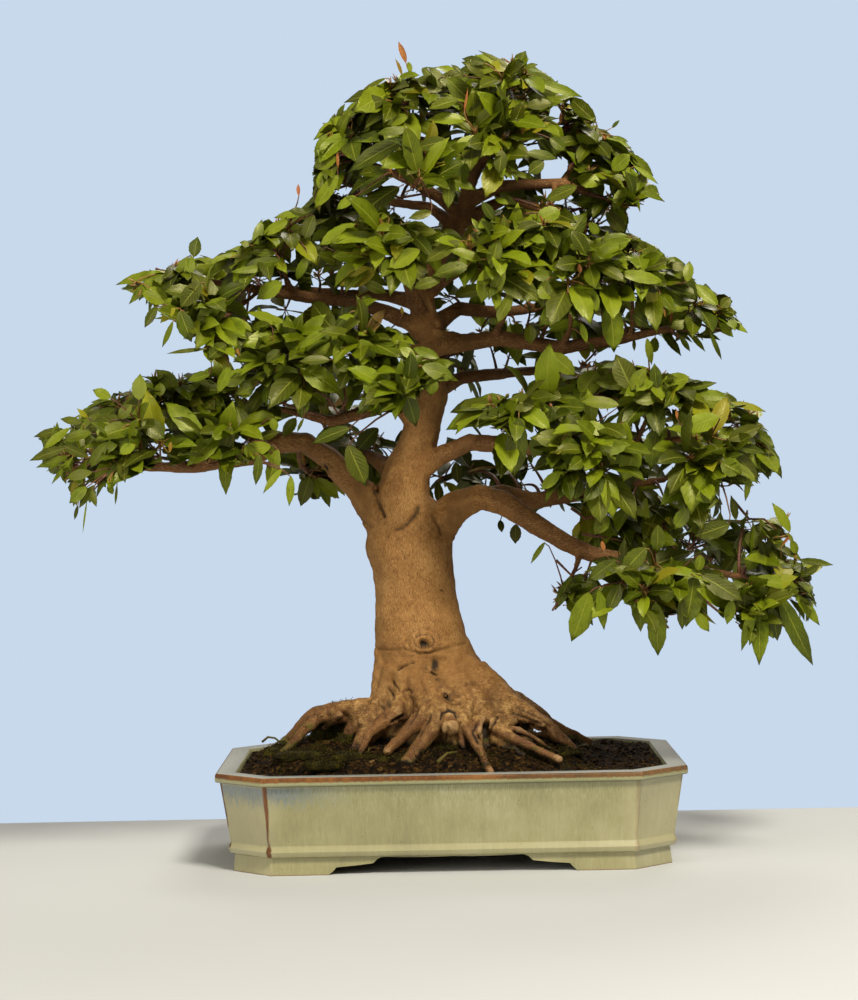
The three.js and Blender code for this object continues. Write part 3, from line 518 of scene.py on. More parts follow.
# Meshes
class Piece:
    """Gathers the shapes of one piece, then makes its mesh with its marks and unwrapping."""

    def __init__(self, name):
        self.name = name
        self.points = []
        self.faces = []
        self.corners = []
        self.paints = []
        self.marks = {}
        self.count = 0

    def add(self, points, faces, corners=None, paint=0, **marks):
        """Adds a shape: points, faces by number, each face corner's place in the unwrapping."""
        self.points.append(points)
        for number, face in enumerate(faces):
            self.faces.append([k + self.count for k in face])
            if corners is not None:
                self.corners.extend(corners[number])
        self.paints.extend([paint] * len(faces))
        for key, rows in marks.items():
            self.marks.setdefault(key, []).append(rows)
        self.count += len(points)

    def make(self, materials, smooth=True):
        mesh = bpy.data.meshes.new(self.name)
        mesh.from_pydata(to_frame(np.concatenate(self.points)).tolist(), [], self.faces)
        for material in materials:
            mesh.materials.append(material)
        mesh.polygons.foreach_set("material_index", self.paints)
        mesh.polygons.foreach_set("use_smooth", [smooth] * len(self.faces))
        for key, rows in self.marks.items():
            if key == "rim":
                self.sharpen(mesh, np.concatenate(rows))
                continue
            layer = mesh.attributes.new(key, "FLOAT_VECTOR", "POINT")
            layer.data.foreach_set("vector", np.concatenate(rows).astype(np.float32).ravel())
        if self.corners:
            unwrapping = mesh.uv_layers.new(name="OFBake")
            unwrapping.uv.foreach_set("vector", np.array(self.corners, np.float32).ravel())
        mesh.validate()
        return placed(self.name, mesh)

    def sharpen(self, mesh, rim):
        """Marks the edges between two points of the same rim as sharp."""
        ends = np.empty(len(mesh.edges) * 2, np.int32)
        mesh.edges.foreach_get("vertices", ends)
        first, second = rim[ends.reshape(-1, 2)].T
        layer = mesh.attributes.new("sharp_edge", "BOOLEAN", "EDGE")
        layer.data.foreach_set("value", (first > 0) & (first == second))


def ball_shape(subdivisions):
    """A ball's points and faces, from which crumbs and cushions of moss are made."""
    ball = bmesh.new()
    bmesh.ops.create_icosphere(ball, subdivisions=subdivisions, radius=1)
    points = np.array([tuple(point.co) for point in ball.verts])
    faces = [tuple(point.index for point in face.verts) for face in ball.faces]
    ball.free()
    return points, faces


def belong(piece, slot, *nodes):
    """The piece rides with the part and stands for CAD nodes; its material slot is not used."""
    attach(piece, "root")
    if nodes:
        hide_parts(*nodes)
    return piece


def ring_faces(rings, count):
    """Faces of a closed body of rings of points, with one more point at each end."""
    faces = []
    last = (rings - 1) * count
    for low in range(0, last, count):
        for k in range(count):
            after = (k + 1) % count
            faces.append((low + k, low + after, low + count + after, low + count + k))
    for k in range(count):
        after = (k + 1) % count
        faces.append((after, k, rings * count))
        faces.append((last + k, last + after, rings * count + 1))
    return faces


def tube(line, radii, sides):
    """A closed tube along a line: its points, faces and unwrapped corners."""
    line = np.asarray(line, float)
    along = unit(np.gradient(line, axis=0))
    side = unit(np.cross(along[0], [0.31, 0.22, 0.92]))
    rings = []
    for centre, heading, radius in zip(line, along, radii):
        side = unit(side - heading * side.dot(heading))
        across = np.cross(heading, side)
        angles = np.arange(sides) * 2 * math.pi / sides
        rings.append(centre + radius * (np.outer(np.cos(angles), side) + np.outer(np.sin(angles), across)))
    points = np.concatenate([*rings, line[:1], line[-1:]])
    count = len(line)
    corners = []
    for ring in range(count - 1):
        for k in range(sides):
            u, v = ring / count, k / sides
            corners.append([(u, v), (u, v + 1 / sides), (u + 1 / count, v + 1 / sides), (u + 1 / count, v)])
    for k in range(sides):
        low = (count - 1) / count
        cap = [(low, k / sides), (low, (k + 1) / sides), (1, (k + 0.5) / sides)]
        corners.extend([cap, cap])
    return points, ring_faces(count, sides), corners


def in_cell(corners, cell, across):
    """Moves a shape's unwrapped corners into a cell of a square sheet of cells."""
    row, column = divmod(cell, across)
    scale = 0.94 / across
    corner = np.array([column, row]) / across + 0.03 / across
    return [[tuple(corner + scale * np.array(uv)) for uv in face] for face in corners]


# A leaf's blade: rows along it at each tooth's tip and notch, and rings of five points across its upper
# side and one below
LEAF_TEETH = 5
RING_COLUMNS = (-1, -0.5, 0, 0.5, 1, 0)
RING = len(RING_COLUMNS)
BLADE_THICKNESS = 0.6
TOOTH_DEPTH = 0.07


def leaf_rows():
    """Shares of the blade's length at each tooth's tip and notch."""
    pitch = 1 / (LEAF_TEETH + 0.6)
    tips = (np.arange(LEAF_TEETH) + 0.45) * pitch
    rows = np.stack([tips, tips + 0.32 * pitch], axis=1).ravel()
    return np.concatenate([[0], rows])


LEAF_ROWS = leaf_rows()
ROW_IS_NOTCH = np.concatenate([[0], np.tile([0, 1], LEAF_TEETH)])


def leaf_width(share):
    """Half the blade's width, as a share of its greatest, at shares of its length."""
    outline = share**0.8 * (1 - share) ** 0.95
    return 0.03 + 3.3 * outline * (1 - 0.35 * smooth_step(share, 0.7, 0.95))


def make_leaf_faces():
    """Faces of a blade whose rings have five points above and one below, and which are above."""
    faces = []
    tops = []
    rows = len(LEAF_ROWS)
    last = (rows - 1) * RING
    for k in range(RING):
        after = (k + 1) % RING
        for low in range(0, last, RING):
            faces.append((low + after, low + k, low + RING + k, low + RING + after))
        faces.append((last + after, last + k, rows * RING))
        faces.append((k, after, rows * RING + 1))
        tops.extend([k < 4] * (rows + 1))
    return faces, tops


LEAF_FACES, FACE_IS_TOP = make_leaf_faces()


def leaf_corners():
    """The unwrapping of a blade: its upper side below its underside on the sheet."""
    rows = len(LEAF_ROWS)
    corners = []
    for face, top in zip(LEAF_FACES, FACE_IS_TOP):
        places = []
        for point in face:
            row, column = divmod(point, RING)
            along, across = (0.0 if column else 1.0), 0.0
            if row < rows:
                along = 0.02 + 0.96 * LEAF_ROWS[row]
                across = RING_COLUMNS[column] * (0.15 + 0.85 * leaf_width(LEAF_ROWS[row]))
            places.append((along, (0.24 if top else 0.74) + 0.22 * across))
        corners.append(places)
    return corners


LEAF_CORNERS = leaf_corners()


def leaf_blade(base, along, normal, length, width, arch, fold, twist, wave):
    """A blade's points: arched down, folded along its midrib, with waved and toothed edges."""
    steps = np.diff(LEAF_ROWS, append=1.0)
    turn = arch * (LEAF_ROWS + steps / 2) ** 1.2
    forward = np.concatenate([[0], np.cumsum(steps * np.cos(turn))]) * length
    down = np.concatenate([[0], np.cumsum(steps * np.sin(turn))]) * length
    spine = base + np.outer(forward, along) - np.outer(down, normal)
    angle = arch * LEAF_ROWS**1.2
    lift = np.outer(np.cos(angle), normal) + np.outer(np.sin(angle), along)
    side = np.cross(normal, along)
    roll = twist * LEAF_ROWS[:, None]
    across = np.cos(roll) * side + np.sin(roll) * lift
    lift = unit(np.cross(np.gradient(spine, axis=0)[:-1], across))
    half = 0.5 * width * leaf_width(LEAF_ROWS)
    rings = []
    for column in RING_COLUMNS:
        under = len(rings) == RING - 1
        reach = half * column
        if abs(column) == 1:
            reach = reach * (1 - TOOTH_DEPTH * ROW_IS_NOTCH)
        height = abs(reach) * math.sin(fold) - 0.12 * reach**2 / max(width, 1)
        height = height + wave * half * column**2 * np.sin(LEAF_ROWS * 14 + 3 * column + wave * 40)
        height = height - (BLADE_THICKNESS if under else 0)
        rings.append(spine[:-1] + across * (reach * math.cos(fold))[:, None] + lift * height[:, None])
    points = np.stack(rings, axis=1).reshape(-1, 3)
    return np.concatenate([points, spine[-1:], base[None] - along * 0.3])


def blade_marks():
    """Along, across and underside for each point of a blade, and its rim by side."""
    rows = len(LEAF_ROWS)
    under = np.arange(RING) == RING - 1
    place = [np.repeat(LEAF_ROWS, RING), np.tile(RING_COLUMNS, rows), np.tile(under, rows)]
    rim = np.tile([1, 0, 0, 0, 2, 0], rows)
    return np.concatenate([np.stack(place, axis=1), [[1, 0, 0], [0, 0, 0]]]), np.concatenate([rim, [0, 0]])


BLADE_PLACE, BLADE_RIM = blade_marks()
MIDDLE_POINT = len(LEAF_ROWS) // 2 * RING + 2
# The middles of a tuft's blades stand at least this far from all others of their piece
BLADE_ROOM = 7


class Foliage:
    """The blades, stalks and twigs of one piece, each unwrapped into its own cell."""

    def __init__(self, name, cells):
        self.piece = Piece(name)
        self.across = math.ceil(math.sqrt(cells))
        self.cell = 0
        self.middles = []
        self.ends = []

    def next_cell(self, corners):
        self.cell += 1
        return in_cell(corners, self.cell - 1, self.across)

    def crowded(self, points):
        """Whether another blade's middle is too close to this one's."""
        middle = points[MIDDLE_POINT]
        return any(np.linalg.norm(middle - other) < BLADE_ROOM for other in self.middles)

    def blade(self, points, tint):
        """Adds a blade; the tint is how light, how yellow, and how young or, below 0, how dry."""
        self.middles.append(points[MIDDLE_POINT])
        corners = self.next_cell(LEAF_CORNERS)
        tints = np.tile(tint, (len(points), 1))
        marks = {"leaf_place": BLADE_PLACE, "leaf_tint": tints, "rim": BLADE_RIM}
        self.piece.add(points, LEAF_FACES, corners, 0, **marks)

    def wood(self, line, radii, sides, young):
        """Adds a twig, stalk or bud; young wood is green-gold."""
        points, faces, corners = tube(line, radii, sides)
        plain = np.zeros((len(points), 3))
        tints = np.tile([0.5, 0.0, young], (len(points), 1))
        marks = {"leaf_place": plain, "leaf_tint": tints, "rim": np.zeros(len(points), int)}
        self.piece.add(points, faces, self.next_cell(corners), 1, **marks)


def curve(start, first, second, end, steps):
    """Points on a cubic curve."""
    share = np.linspace(0, 1, steps + 1)[:, None]
    rest = 1 - share
    return rest**3 * start + 3 * rest**2 * share * first + 3 * rest * share**2 * second + share**3 * end


# The crown's trained outline, the clear gaps in it as ellipses, and the stretches of bare wood that no
# leaf hides as circles: columns and rows of the picture
CROWN_OUTLINE = (
    (314, 158), (314, 134), (332, 113), (352, 94), (388, 78), (420, 67), (452, 64), (484, 50), (500, 58),
    (526, 53), (540, 68), (578, 92), (594, 112), (600, 128), (628, 142), (650, 172), (662, 196),
    (630, 208), (628, 230), (662, 250), (692, 264), (712, 290), (732, 298), (745, 326), (720, 344),
    (682, 350), (652, 358), (642, 340), (618, 350), (562, 353), (556, 359), (580, 368), (596, 363),
    (616, 358), (650, 368), (716, 384), (762, 409), (772, 438), (784, 474), (760, 486), (742, 494),
    (736, 484), (720, 486), (724, 520), (738, 506), (758, 518), (778, 508), (792, 530), (800, 556),
    (826, 565), (812, 580), (820, 618), (806, 624), (806, 650), (784, 632), (756, 656), (742, 640),
    (736, 618), (706, 628), (672, 612), (658, 646), (640, 622), (622, 604), (600, 624), (578, 636),
    (568, 606), (556, 602), (570, 576), (560, 558), (520, 530), (472, 502), (448, 510), (440, 540),
    (378, 540), (348, 498), (330, 502), (296, 502), (284, 474), (262, 484), (242, 462), (226, 486),
    (216, 464), (142, 474), (112, 496), (92, 504), (74, 512), (68, 486), (50, 474), (34, 464), (44, 446),
    (33, 436), (46, 424), (80, 412), (96, 392), (128, 392), (140, 376), (160, 366), (176, 376),
    (206, 368), (206, 356), (184, 350), (176, 326), (150, 322), (144, 306), (128, 300), (116, 282),
    (136, 270), (166, 268), (196, 240), (214, 256), (248, 240), (264, 218), (296, 208), (312, 200),
    (312, 170),
)
GAPS = (
    (524, 315, 17, 8), (394, 321, 16, 6), (463, 325, 16, 6), (487, 358, 11, 11), (500, 385, 20, 8),
    (404, 298, 5, 9), (430, 221, 10, 5), (489, 205, 12, 6), (400, 211, 12, 6), (392, 179, 9, 10),
    (411, 184, 6, 7), (519, 168, 9, 5), (551, 170, 11, 9), (533, 147, 9, 5), (558, 199, 8, 6),
    (556, 115, 6, 7), (606, 220, 9, 6), (590, 228, 9, 7), (612, 193, 8, 5), (538, 485, 8, 9),
    (556, 522, 20, 9), (605, 532, 10, 3), (711, 610, 7, 4), (318, 430, 22, 9), (293, 428, 8, 10),
    (359, 420, 11, 4), (357, 483, 8, 4), (385, 417, 5, 5), (403, 420, 5, 6), (464, 396, 5, 12),
    (445, 496, 5, 6), (543, 475, 9, 4), (541, 459, 4, 5),
)
BARE_WOOD = (
    (405, 495, 24), (415, 460, 22), (425, 425, 20), (434, 397, 12), (450, 451, 15), (475, 443, 12),
    (310, 455, 13), (325, 470, 18), (345, 490, 19), (365, 508, 18), (320, 412, 12), (345, 408, 9),
    (445, 505, 18), (470, 492, 18), (500, 500, 15), (530, 512, 13), (560, 532, 13), (590, 549, 10),
    (395, 530, 24), (430, 530, 20), (470, 205, 12), (465, 225, 9), (510, 188, 8), (532, 186, 8),
    (530, 203, 7), (550, 209, 7), (400, 192, 7), (420, 196, 8), (440, 200, 10), (425, 302, 13),
    (420, 326, 13), (440, 348, 13), (462, 310, 8), (462, 340, 11), (486, 340, 10), (510, 341, 9),
    (536, 345, 8), (562, 348, 7), (345, 298, 5), (375, 306, 6), (400, 318, 7), (160, 473, 6),
    (185, 468, 5), (205, 463, 5), (285, 445, 8), (300, 450, 9),
)
# No leaf stands in front of the bare wood before this depth
BARE_DEPTH = 40
OUTLINE_STARTS = np.array(CROWN_OUTLINE, float)
OUTLINE_ENDS = np.roll(OUTLINE_STARTS, -1, axis=0)


def in_crown(points):
    """Whether the camera sees every point in the crown's outline and clear of gaps and bare wood."""
    column, row = (place[:, None] for place in picture_place(points))
    (column_0, row_0), (column_1, row_1) = OUTLINE_STARTS.T, OUTLINE_ENDS.T
    crosses = (row_0 > row) != (row_1 > row)
    fall = np.where(row_1 == row_0, 1.0, row_1 - row_0)
    left_of = column < column_0 + (row - row_0) / fall * (column_1 - column_0)
    inside = (crosses & left_of).sum(axis=1) % 2 == 1
    gap_column, gap_row, wide, tall = np.array(GAPS, float).T
    in_gap = ((column - gap_column) / wide) ** 2 + ((row - gap_row) / tall) ** 2 < 1
    bare_column, bare_row, reach = np.array(BARE_WOOD, float).T
    on_bare = (np.hypot(column - bare_column, row - bare_row) < reach) & (points[:, 1:2] < BARE_DEPTH)
    return bool(inside.all() and not in_gap.any() and not on_bare.any())


# Upward and toward the camera, which is where the light comes from that the leaves turn to
UP = np.array([0.0, 0.0, 1.0])
GOLDEN_ANGLE = math.pi * (3 - math.sqrt(5))
FACING = np.array([0.0, -1.0, 0.0])
STALK_LENGTH = 6


def mesh_points(node):
    """A node's points in millimetres."""
    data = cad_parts[node].data
    points = np.empty(len(data.vertices) * 3, np.float32)
    data.vertices.foreach_get("co", points)
    return to_millimetres(points.reshape(-1, 3))


def wood_tree():
    """A search tree of the solid wood, to find where each spray leaves it."""
    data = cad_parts["trunk"].data
    faces = [tuple(face.vertices) for face in data.polygons]
    return BVHTree.FromPolygons(mesh_points("trunk").tolist(), faces)


def spray_start(points, tree):
    """Where a spray's stem stands on its branch: the middle of its nearest points to the wood."""
    apart = np.array([tree.find_nearest(point)[3] for point in points.tolist()])
    nearest = np.unique(np.round(points[np.argsort(apart)[:12]], 1), axis=0)
    return nearest.mean(axis=0)


# The points of a blade that have to lie in the crown: edges and midrib at every third row, and the tip
KEY_POINTS = [(row * RING + column) for row in range(3, len(LEAF_ROWS), 3) for column in (0, 2, 4)] + [-2]


def fits(points, low, high):
    """Whether a blade keeps to its room and to the crown's outline."""
    return (points > low).all() and (points < high).all() and in_crown(points[KEY_POINTS])


# Where a spray's tufts stand round its middle: turn from its heading in radians, and reach and rise as
# shares of its size
TUFTS = (
    (0.0, 0.54, 0.1), (1.2, 0.5, 0.2), (-1.2, 0.5, 0.16), (2.4, 0.46, 0.22), (-2.4, 0.46, 0.26),
    (0.5, 0.24, 0.5), (-0.7, 0.5, -0.22), (0.8, 0.52, -0.2), (-2.9, 0.2, 0.46), (-0.2, 0.1, 0.1),
)
LEAVES_PER_TUFT = 6
BUDS_PER_TUFT = 3
LEAVES_PER_SHOOT = 3
SPARE_TRIES = 6
SHORTEST_LEAF = 30
LENGTH_RANGE = 32
SMALLER_TRIES = (1.0, 0.84, 0.7)
# A leaf's width as a share of its length, how far it opens from its twig in radians, and how often one
# is yellow or dry
LEAF_WIDTHS = (0.36, 0.48)
LEAF_OPENINGS = (0.7, 1.4)
YELLOW_CHANCE = 0.05
DRY_CHANCE = 0.006


def grow_tuft(foliage, tip, heading, lean, droop, limits, rng):
    """A bunch of leaves round the end of a twig, that lean the way the branch grows."""
    foliage.ends.append(tip)
    side = unit(np.cross(heading, [0.3, 0.5, 0.1]))
    other = np.cross(heading, side)
    first_turn = rng.uniform(0, 2 * math.pi)
    made = 0
    for number in range(LEAVES_PER_TUFT + SPARE_TRIES):
        if made == LEAVES_PER_TUFT:
            break
        turn = first_turn + number * GOLDEN_ANGLE
        spread = math.cos(turn) * side + math.sin(turn) * other
        opening = rng.uniform(*LEAF_OPENINGS)
        along = heading * math.cos(opening) + spread * math.sin(opening)
        along = unit(along + lean - UP * (droop + rng.uniform(0.0, 0.7)))
        normal = 0.75 * UP + 0.6 * lean + 0.55 * FACING + rng.normal(0, 0.28, 3)
        normal = unit(normal - along * normal.dot(along))
        length = SHORTEST_LEAF + LENGTH_RANGE * rng.random() ** 1.1
        for shrink in SMALLER_TRIES:
            size = length * shrink
            root = tip - heading * (1.5 * number)
            base = root + along * STALK_LENGTH
            points = leaf_blade(
                base, along, normal, size, size * rng.uniform(*LEAF_WIDTHS), rng.uniform(0.15, 0.9),
                rng.uniform(0.14, 0.4), rng.uniform(-0.4, 0.4), rng.uniform(0.02, 0.07),
            )
            if fits(points, *limits) and not foliage.crowded(points):
                break
        else:
            continue
        yellow = rng.uniform(0.35, 0.8) if rng.random() < YELLOW_CHANCE else rng.uniform(0, 0.12)
        dry = -0.9 if rng.random() < DRY_CHANCE else 0.0
        foliage.blade(points, (rng.uniform(0.05, 0.9), yellow, dry))
        foliage.wood([root, base + along], [0.75, 0.55], 3, 1.0)
        made += 1
    for _ in range(BUDS_PER_TUFT):
        bud = tip + unit(heading + rng.normal(0, 0.5, 3)) * rng.uniform(6, 13)
        foliage.wood([tip, (tip + bud) / 2, bud], [0.7, 1.1, 0.3], 4, rng.uniform(0.4, 1.0))


def grow_shoot(foliage, tip, heading, limits, rng):
    """A young bronze shoot: small folded leaves that stand up from a bud."""
    for _ in range(LEAVES_PER_SHOOT):
        lean = rng.normal(0, 0.22, 3)
        along = unit(heading * 0.5 + UP + lean)
        normal = unit(np.cross(along, rng.normal(0, 1, 3)))
        length = rng.uniform(9, 21)
        points = leaf_blade(tip, along, normal, length, length * 0.26, 0.3, 0.7, 0.2, 0.02)
        if fits(points, *limits):
            foliage.blade(points, (0.7, 0.3, rng.uniform(0.5, 1.0)))


# How far a spray's leaves may reach past its solid, and where the crown must have room round a tuft
SPRAY_SPREAD = 14
TUFT_ROOM = np.array([[-12, 0, 0], [12, 0, 0], [0, 0, 8]])
SHOOT_CHANCE = 0.16


def grow_spray(name, number, tree):
    """One spray: a stem, its side twigs, and a tuft of leaves at the end of each."""
    rng = np.random.default_rng(SPRAY_SEED + number)
    solid = mesh_points(name)
    low, high = solid.min(axis=0), solid.max(axis=0)
    middle, half = (low + high) / 2, (high - low) / 2
    start = spray_start(solid, tree)
    forward = unit(middle - start)
    level = unit(forward * [1, 1, 0.001])
    limits = (np.maximum(low - SPRAY_SPREAD, ROOM_LOW), np.minimum(high + SPRAY_SPREAD, ROOM_HIGH))
    cells_per_tuft = 2 * LEAVES_PER_TUFT + BUDS_PER_TUFT + LEAVES_PER_SHOOT + 1
    foliage = Foliage(name + "_leaves", cells_per_tuft * len(TUFTS) + 1)
    stem = curve(start - forward * 3, start + forward * 14, middle - forward * 12, middle + UP * 4, 5)
    foliage.wood(stem, np.linspace(2.3, 1.2, 6), 6, 0.0)
    for turn, reach, rise in TUFTS:
        turn = turn + rng.uniform(-0.35, 0.35)
        facing = level * math.cos(turn) + np.cross(UP, level) * math.sin(turn)
        tip = middle + facing * half * reach * rng.uniform(0.8, 1.15) + UP * half[2] * rise
        root = stem[rng.integers(2, 5)]
        for _ in range(SPARE_TRIES):
            if in_crown(tip[None] + TUFT_ROOM):
                break
            tip = 0.82 * tip + 0.18 * stem[2]
        heading = unit(unit(tip - root) + UP * rng.uniform(0.3, 0.8))
        twig = curve(root, root + unit(tip - root) * 8, tip - heading * 9, tip, 4)
        foliage.wood(twig, np.linspace(1.25, 0.8, 5), 5, 0.25)
        lean = 0.3 * facing + 0.4 * level
        droop = 0.35 if rise < 0 else 0.0
        grow_tuft(foliage, tip, heading, lean, droop, limits, rng)
        if rng.random() < SHOOT_CHANCE:
            grow_shoot(foliage, tip, heading, limits, rng)
    return foliage


# Tufts on short side twigs of the limbs, inside the pads: column and row of the picture, depth
INNER_TUFTS = (
    (445, 478, 90), (470, 470, 100), (500, 465, 95), (530, 462, 90), (555, 470, 80), (485, 488, 110),
    (520, 485, 100), (545, 488, 90), (585, 500, 50), (610, 515, 40), (640, 505, 40), (665, 500, 30),
    (600, 535, 20), (635, 535, 30), (660, 535, 20), (590, 520, 60), (745, 520, -10), (770, 540, -20),
    (785, 520, 0), (755, 560, -30), (745, 545, 20), (515, 322, 40), (545, 325, -20), (575, 318, 30),
    (600, 305, -20), (620, 318, 20), (640, 325, -10), (560, 305, 60), (530, 310, 0), (300, 270, 20),
    (318, 275, -10), (283, 265, 40), (285, 310, 10), (325, 310, 30), (345, 262, -30), (378, 278, 20),
    (679, 338, 0), (655, 330, 20), (700, 335, -10), (589, 172, -20), (536, 118, -20), (455, 114, -10),
    (575, 165, 30), (378, 440, 90), (366, 462, 80), (350, 432, 100), (358, 450, 110), (392, 445, 110),
    (448, 296, 60), (287, 389, -30), (275, 403, -40), (300, 395, 20), (510, 352, 70), (490, 345, 80),
    (677, 415, -20), (660, 420, 20), (585, 575, -20), (80, 490, 0), (155, 300, 0), (246, 320, 10),
    (340, 395, -20), (630, 405, 10),
    (370, 190, 80), (420, 178, 85), (395, 206, 90), (520, 172, 75), (565, 196, 80), (605, 208, 60),
    (330, 300, 80), (375, 318, 85), (480, 332, 90), (540, 336, 90), (505, 216, 80), (345, 206, 70),
    (600, 482, 65), (642, 490, 60), (682, 472, 55), (560, 500, 80),
)


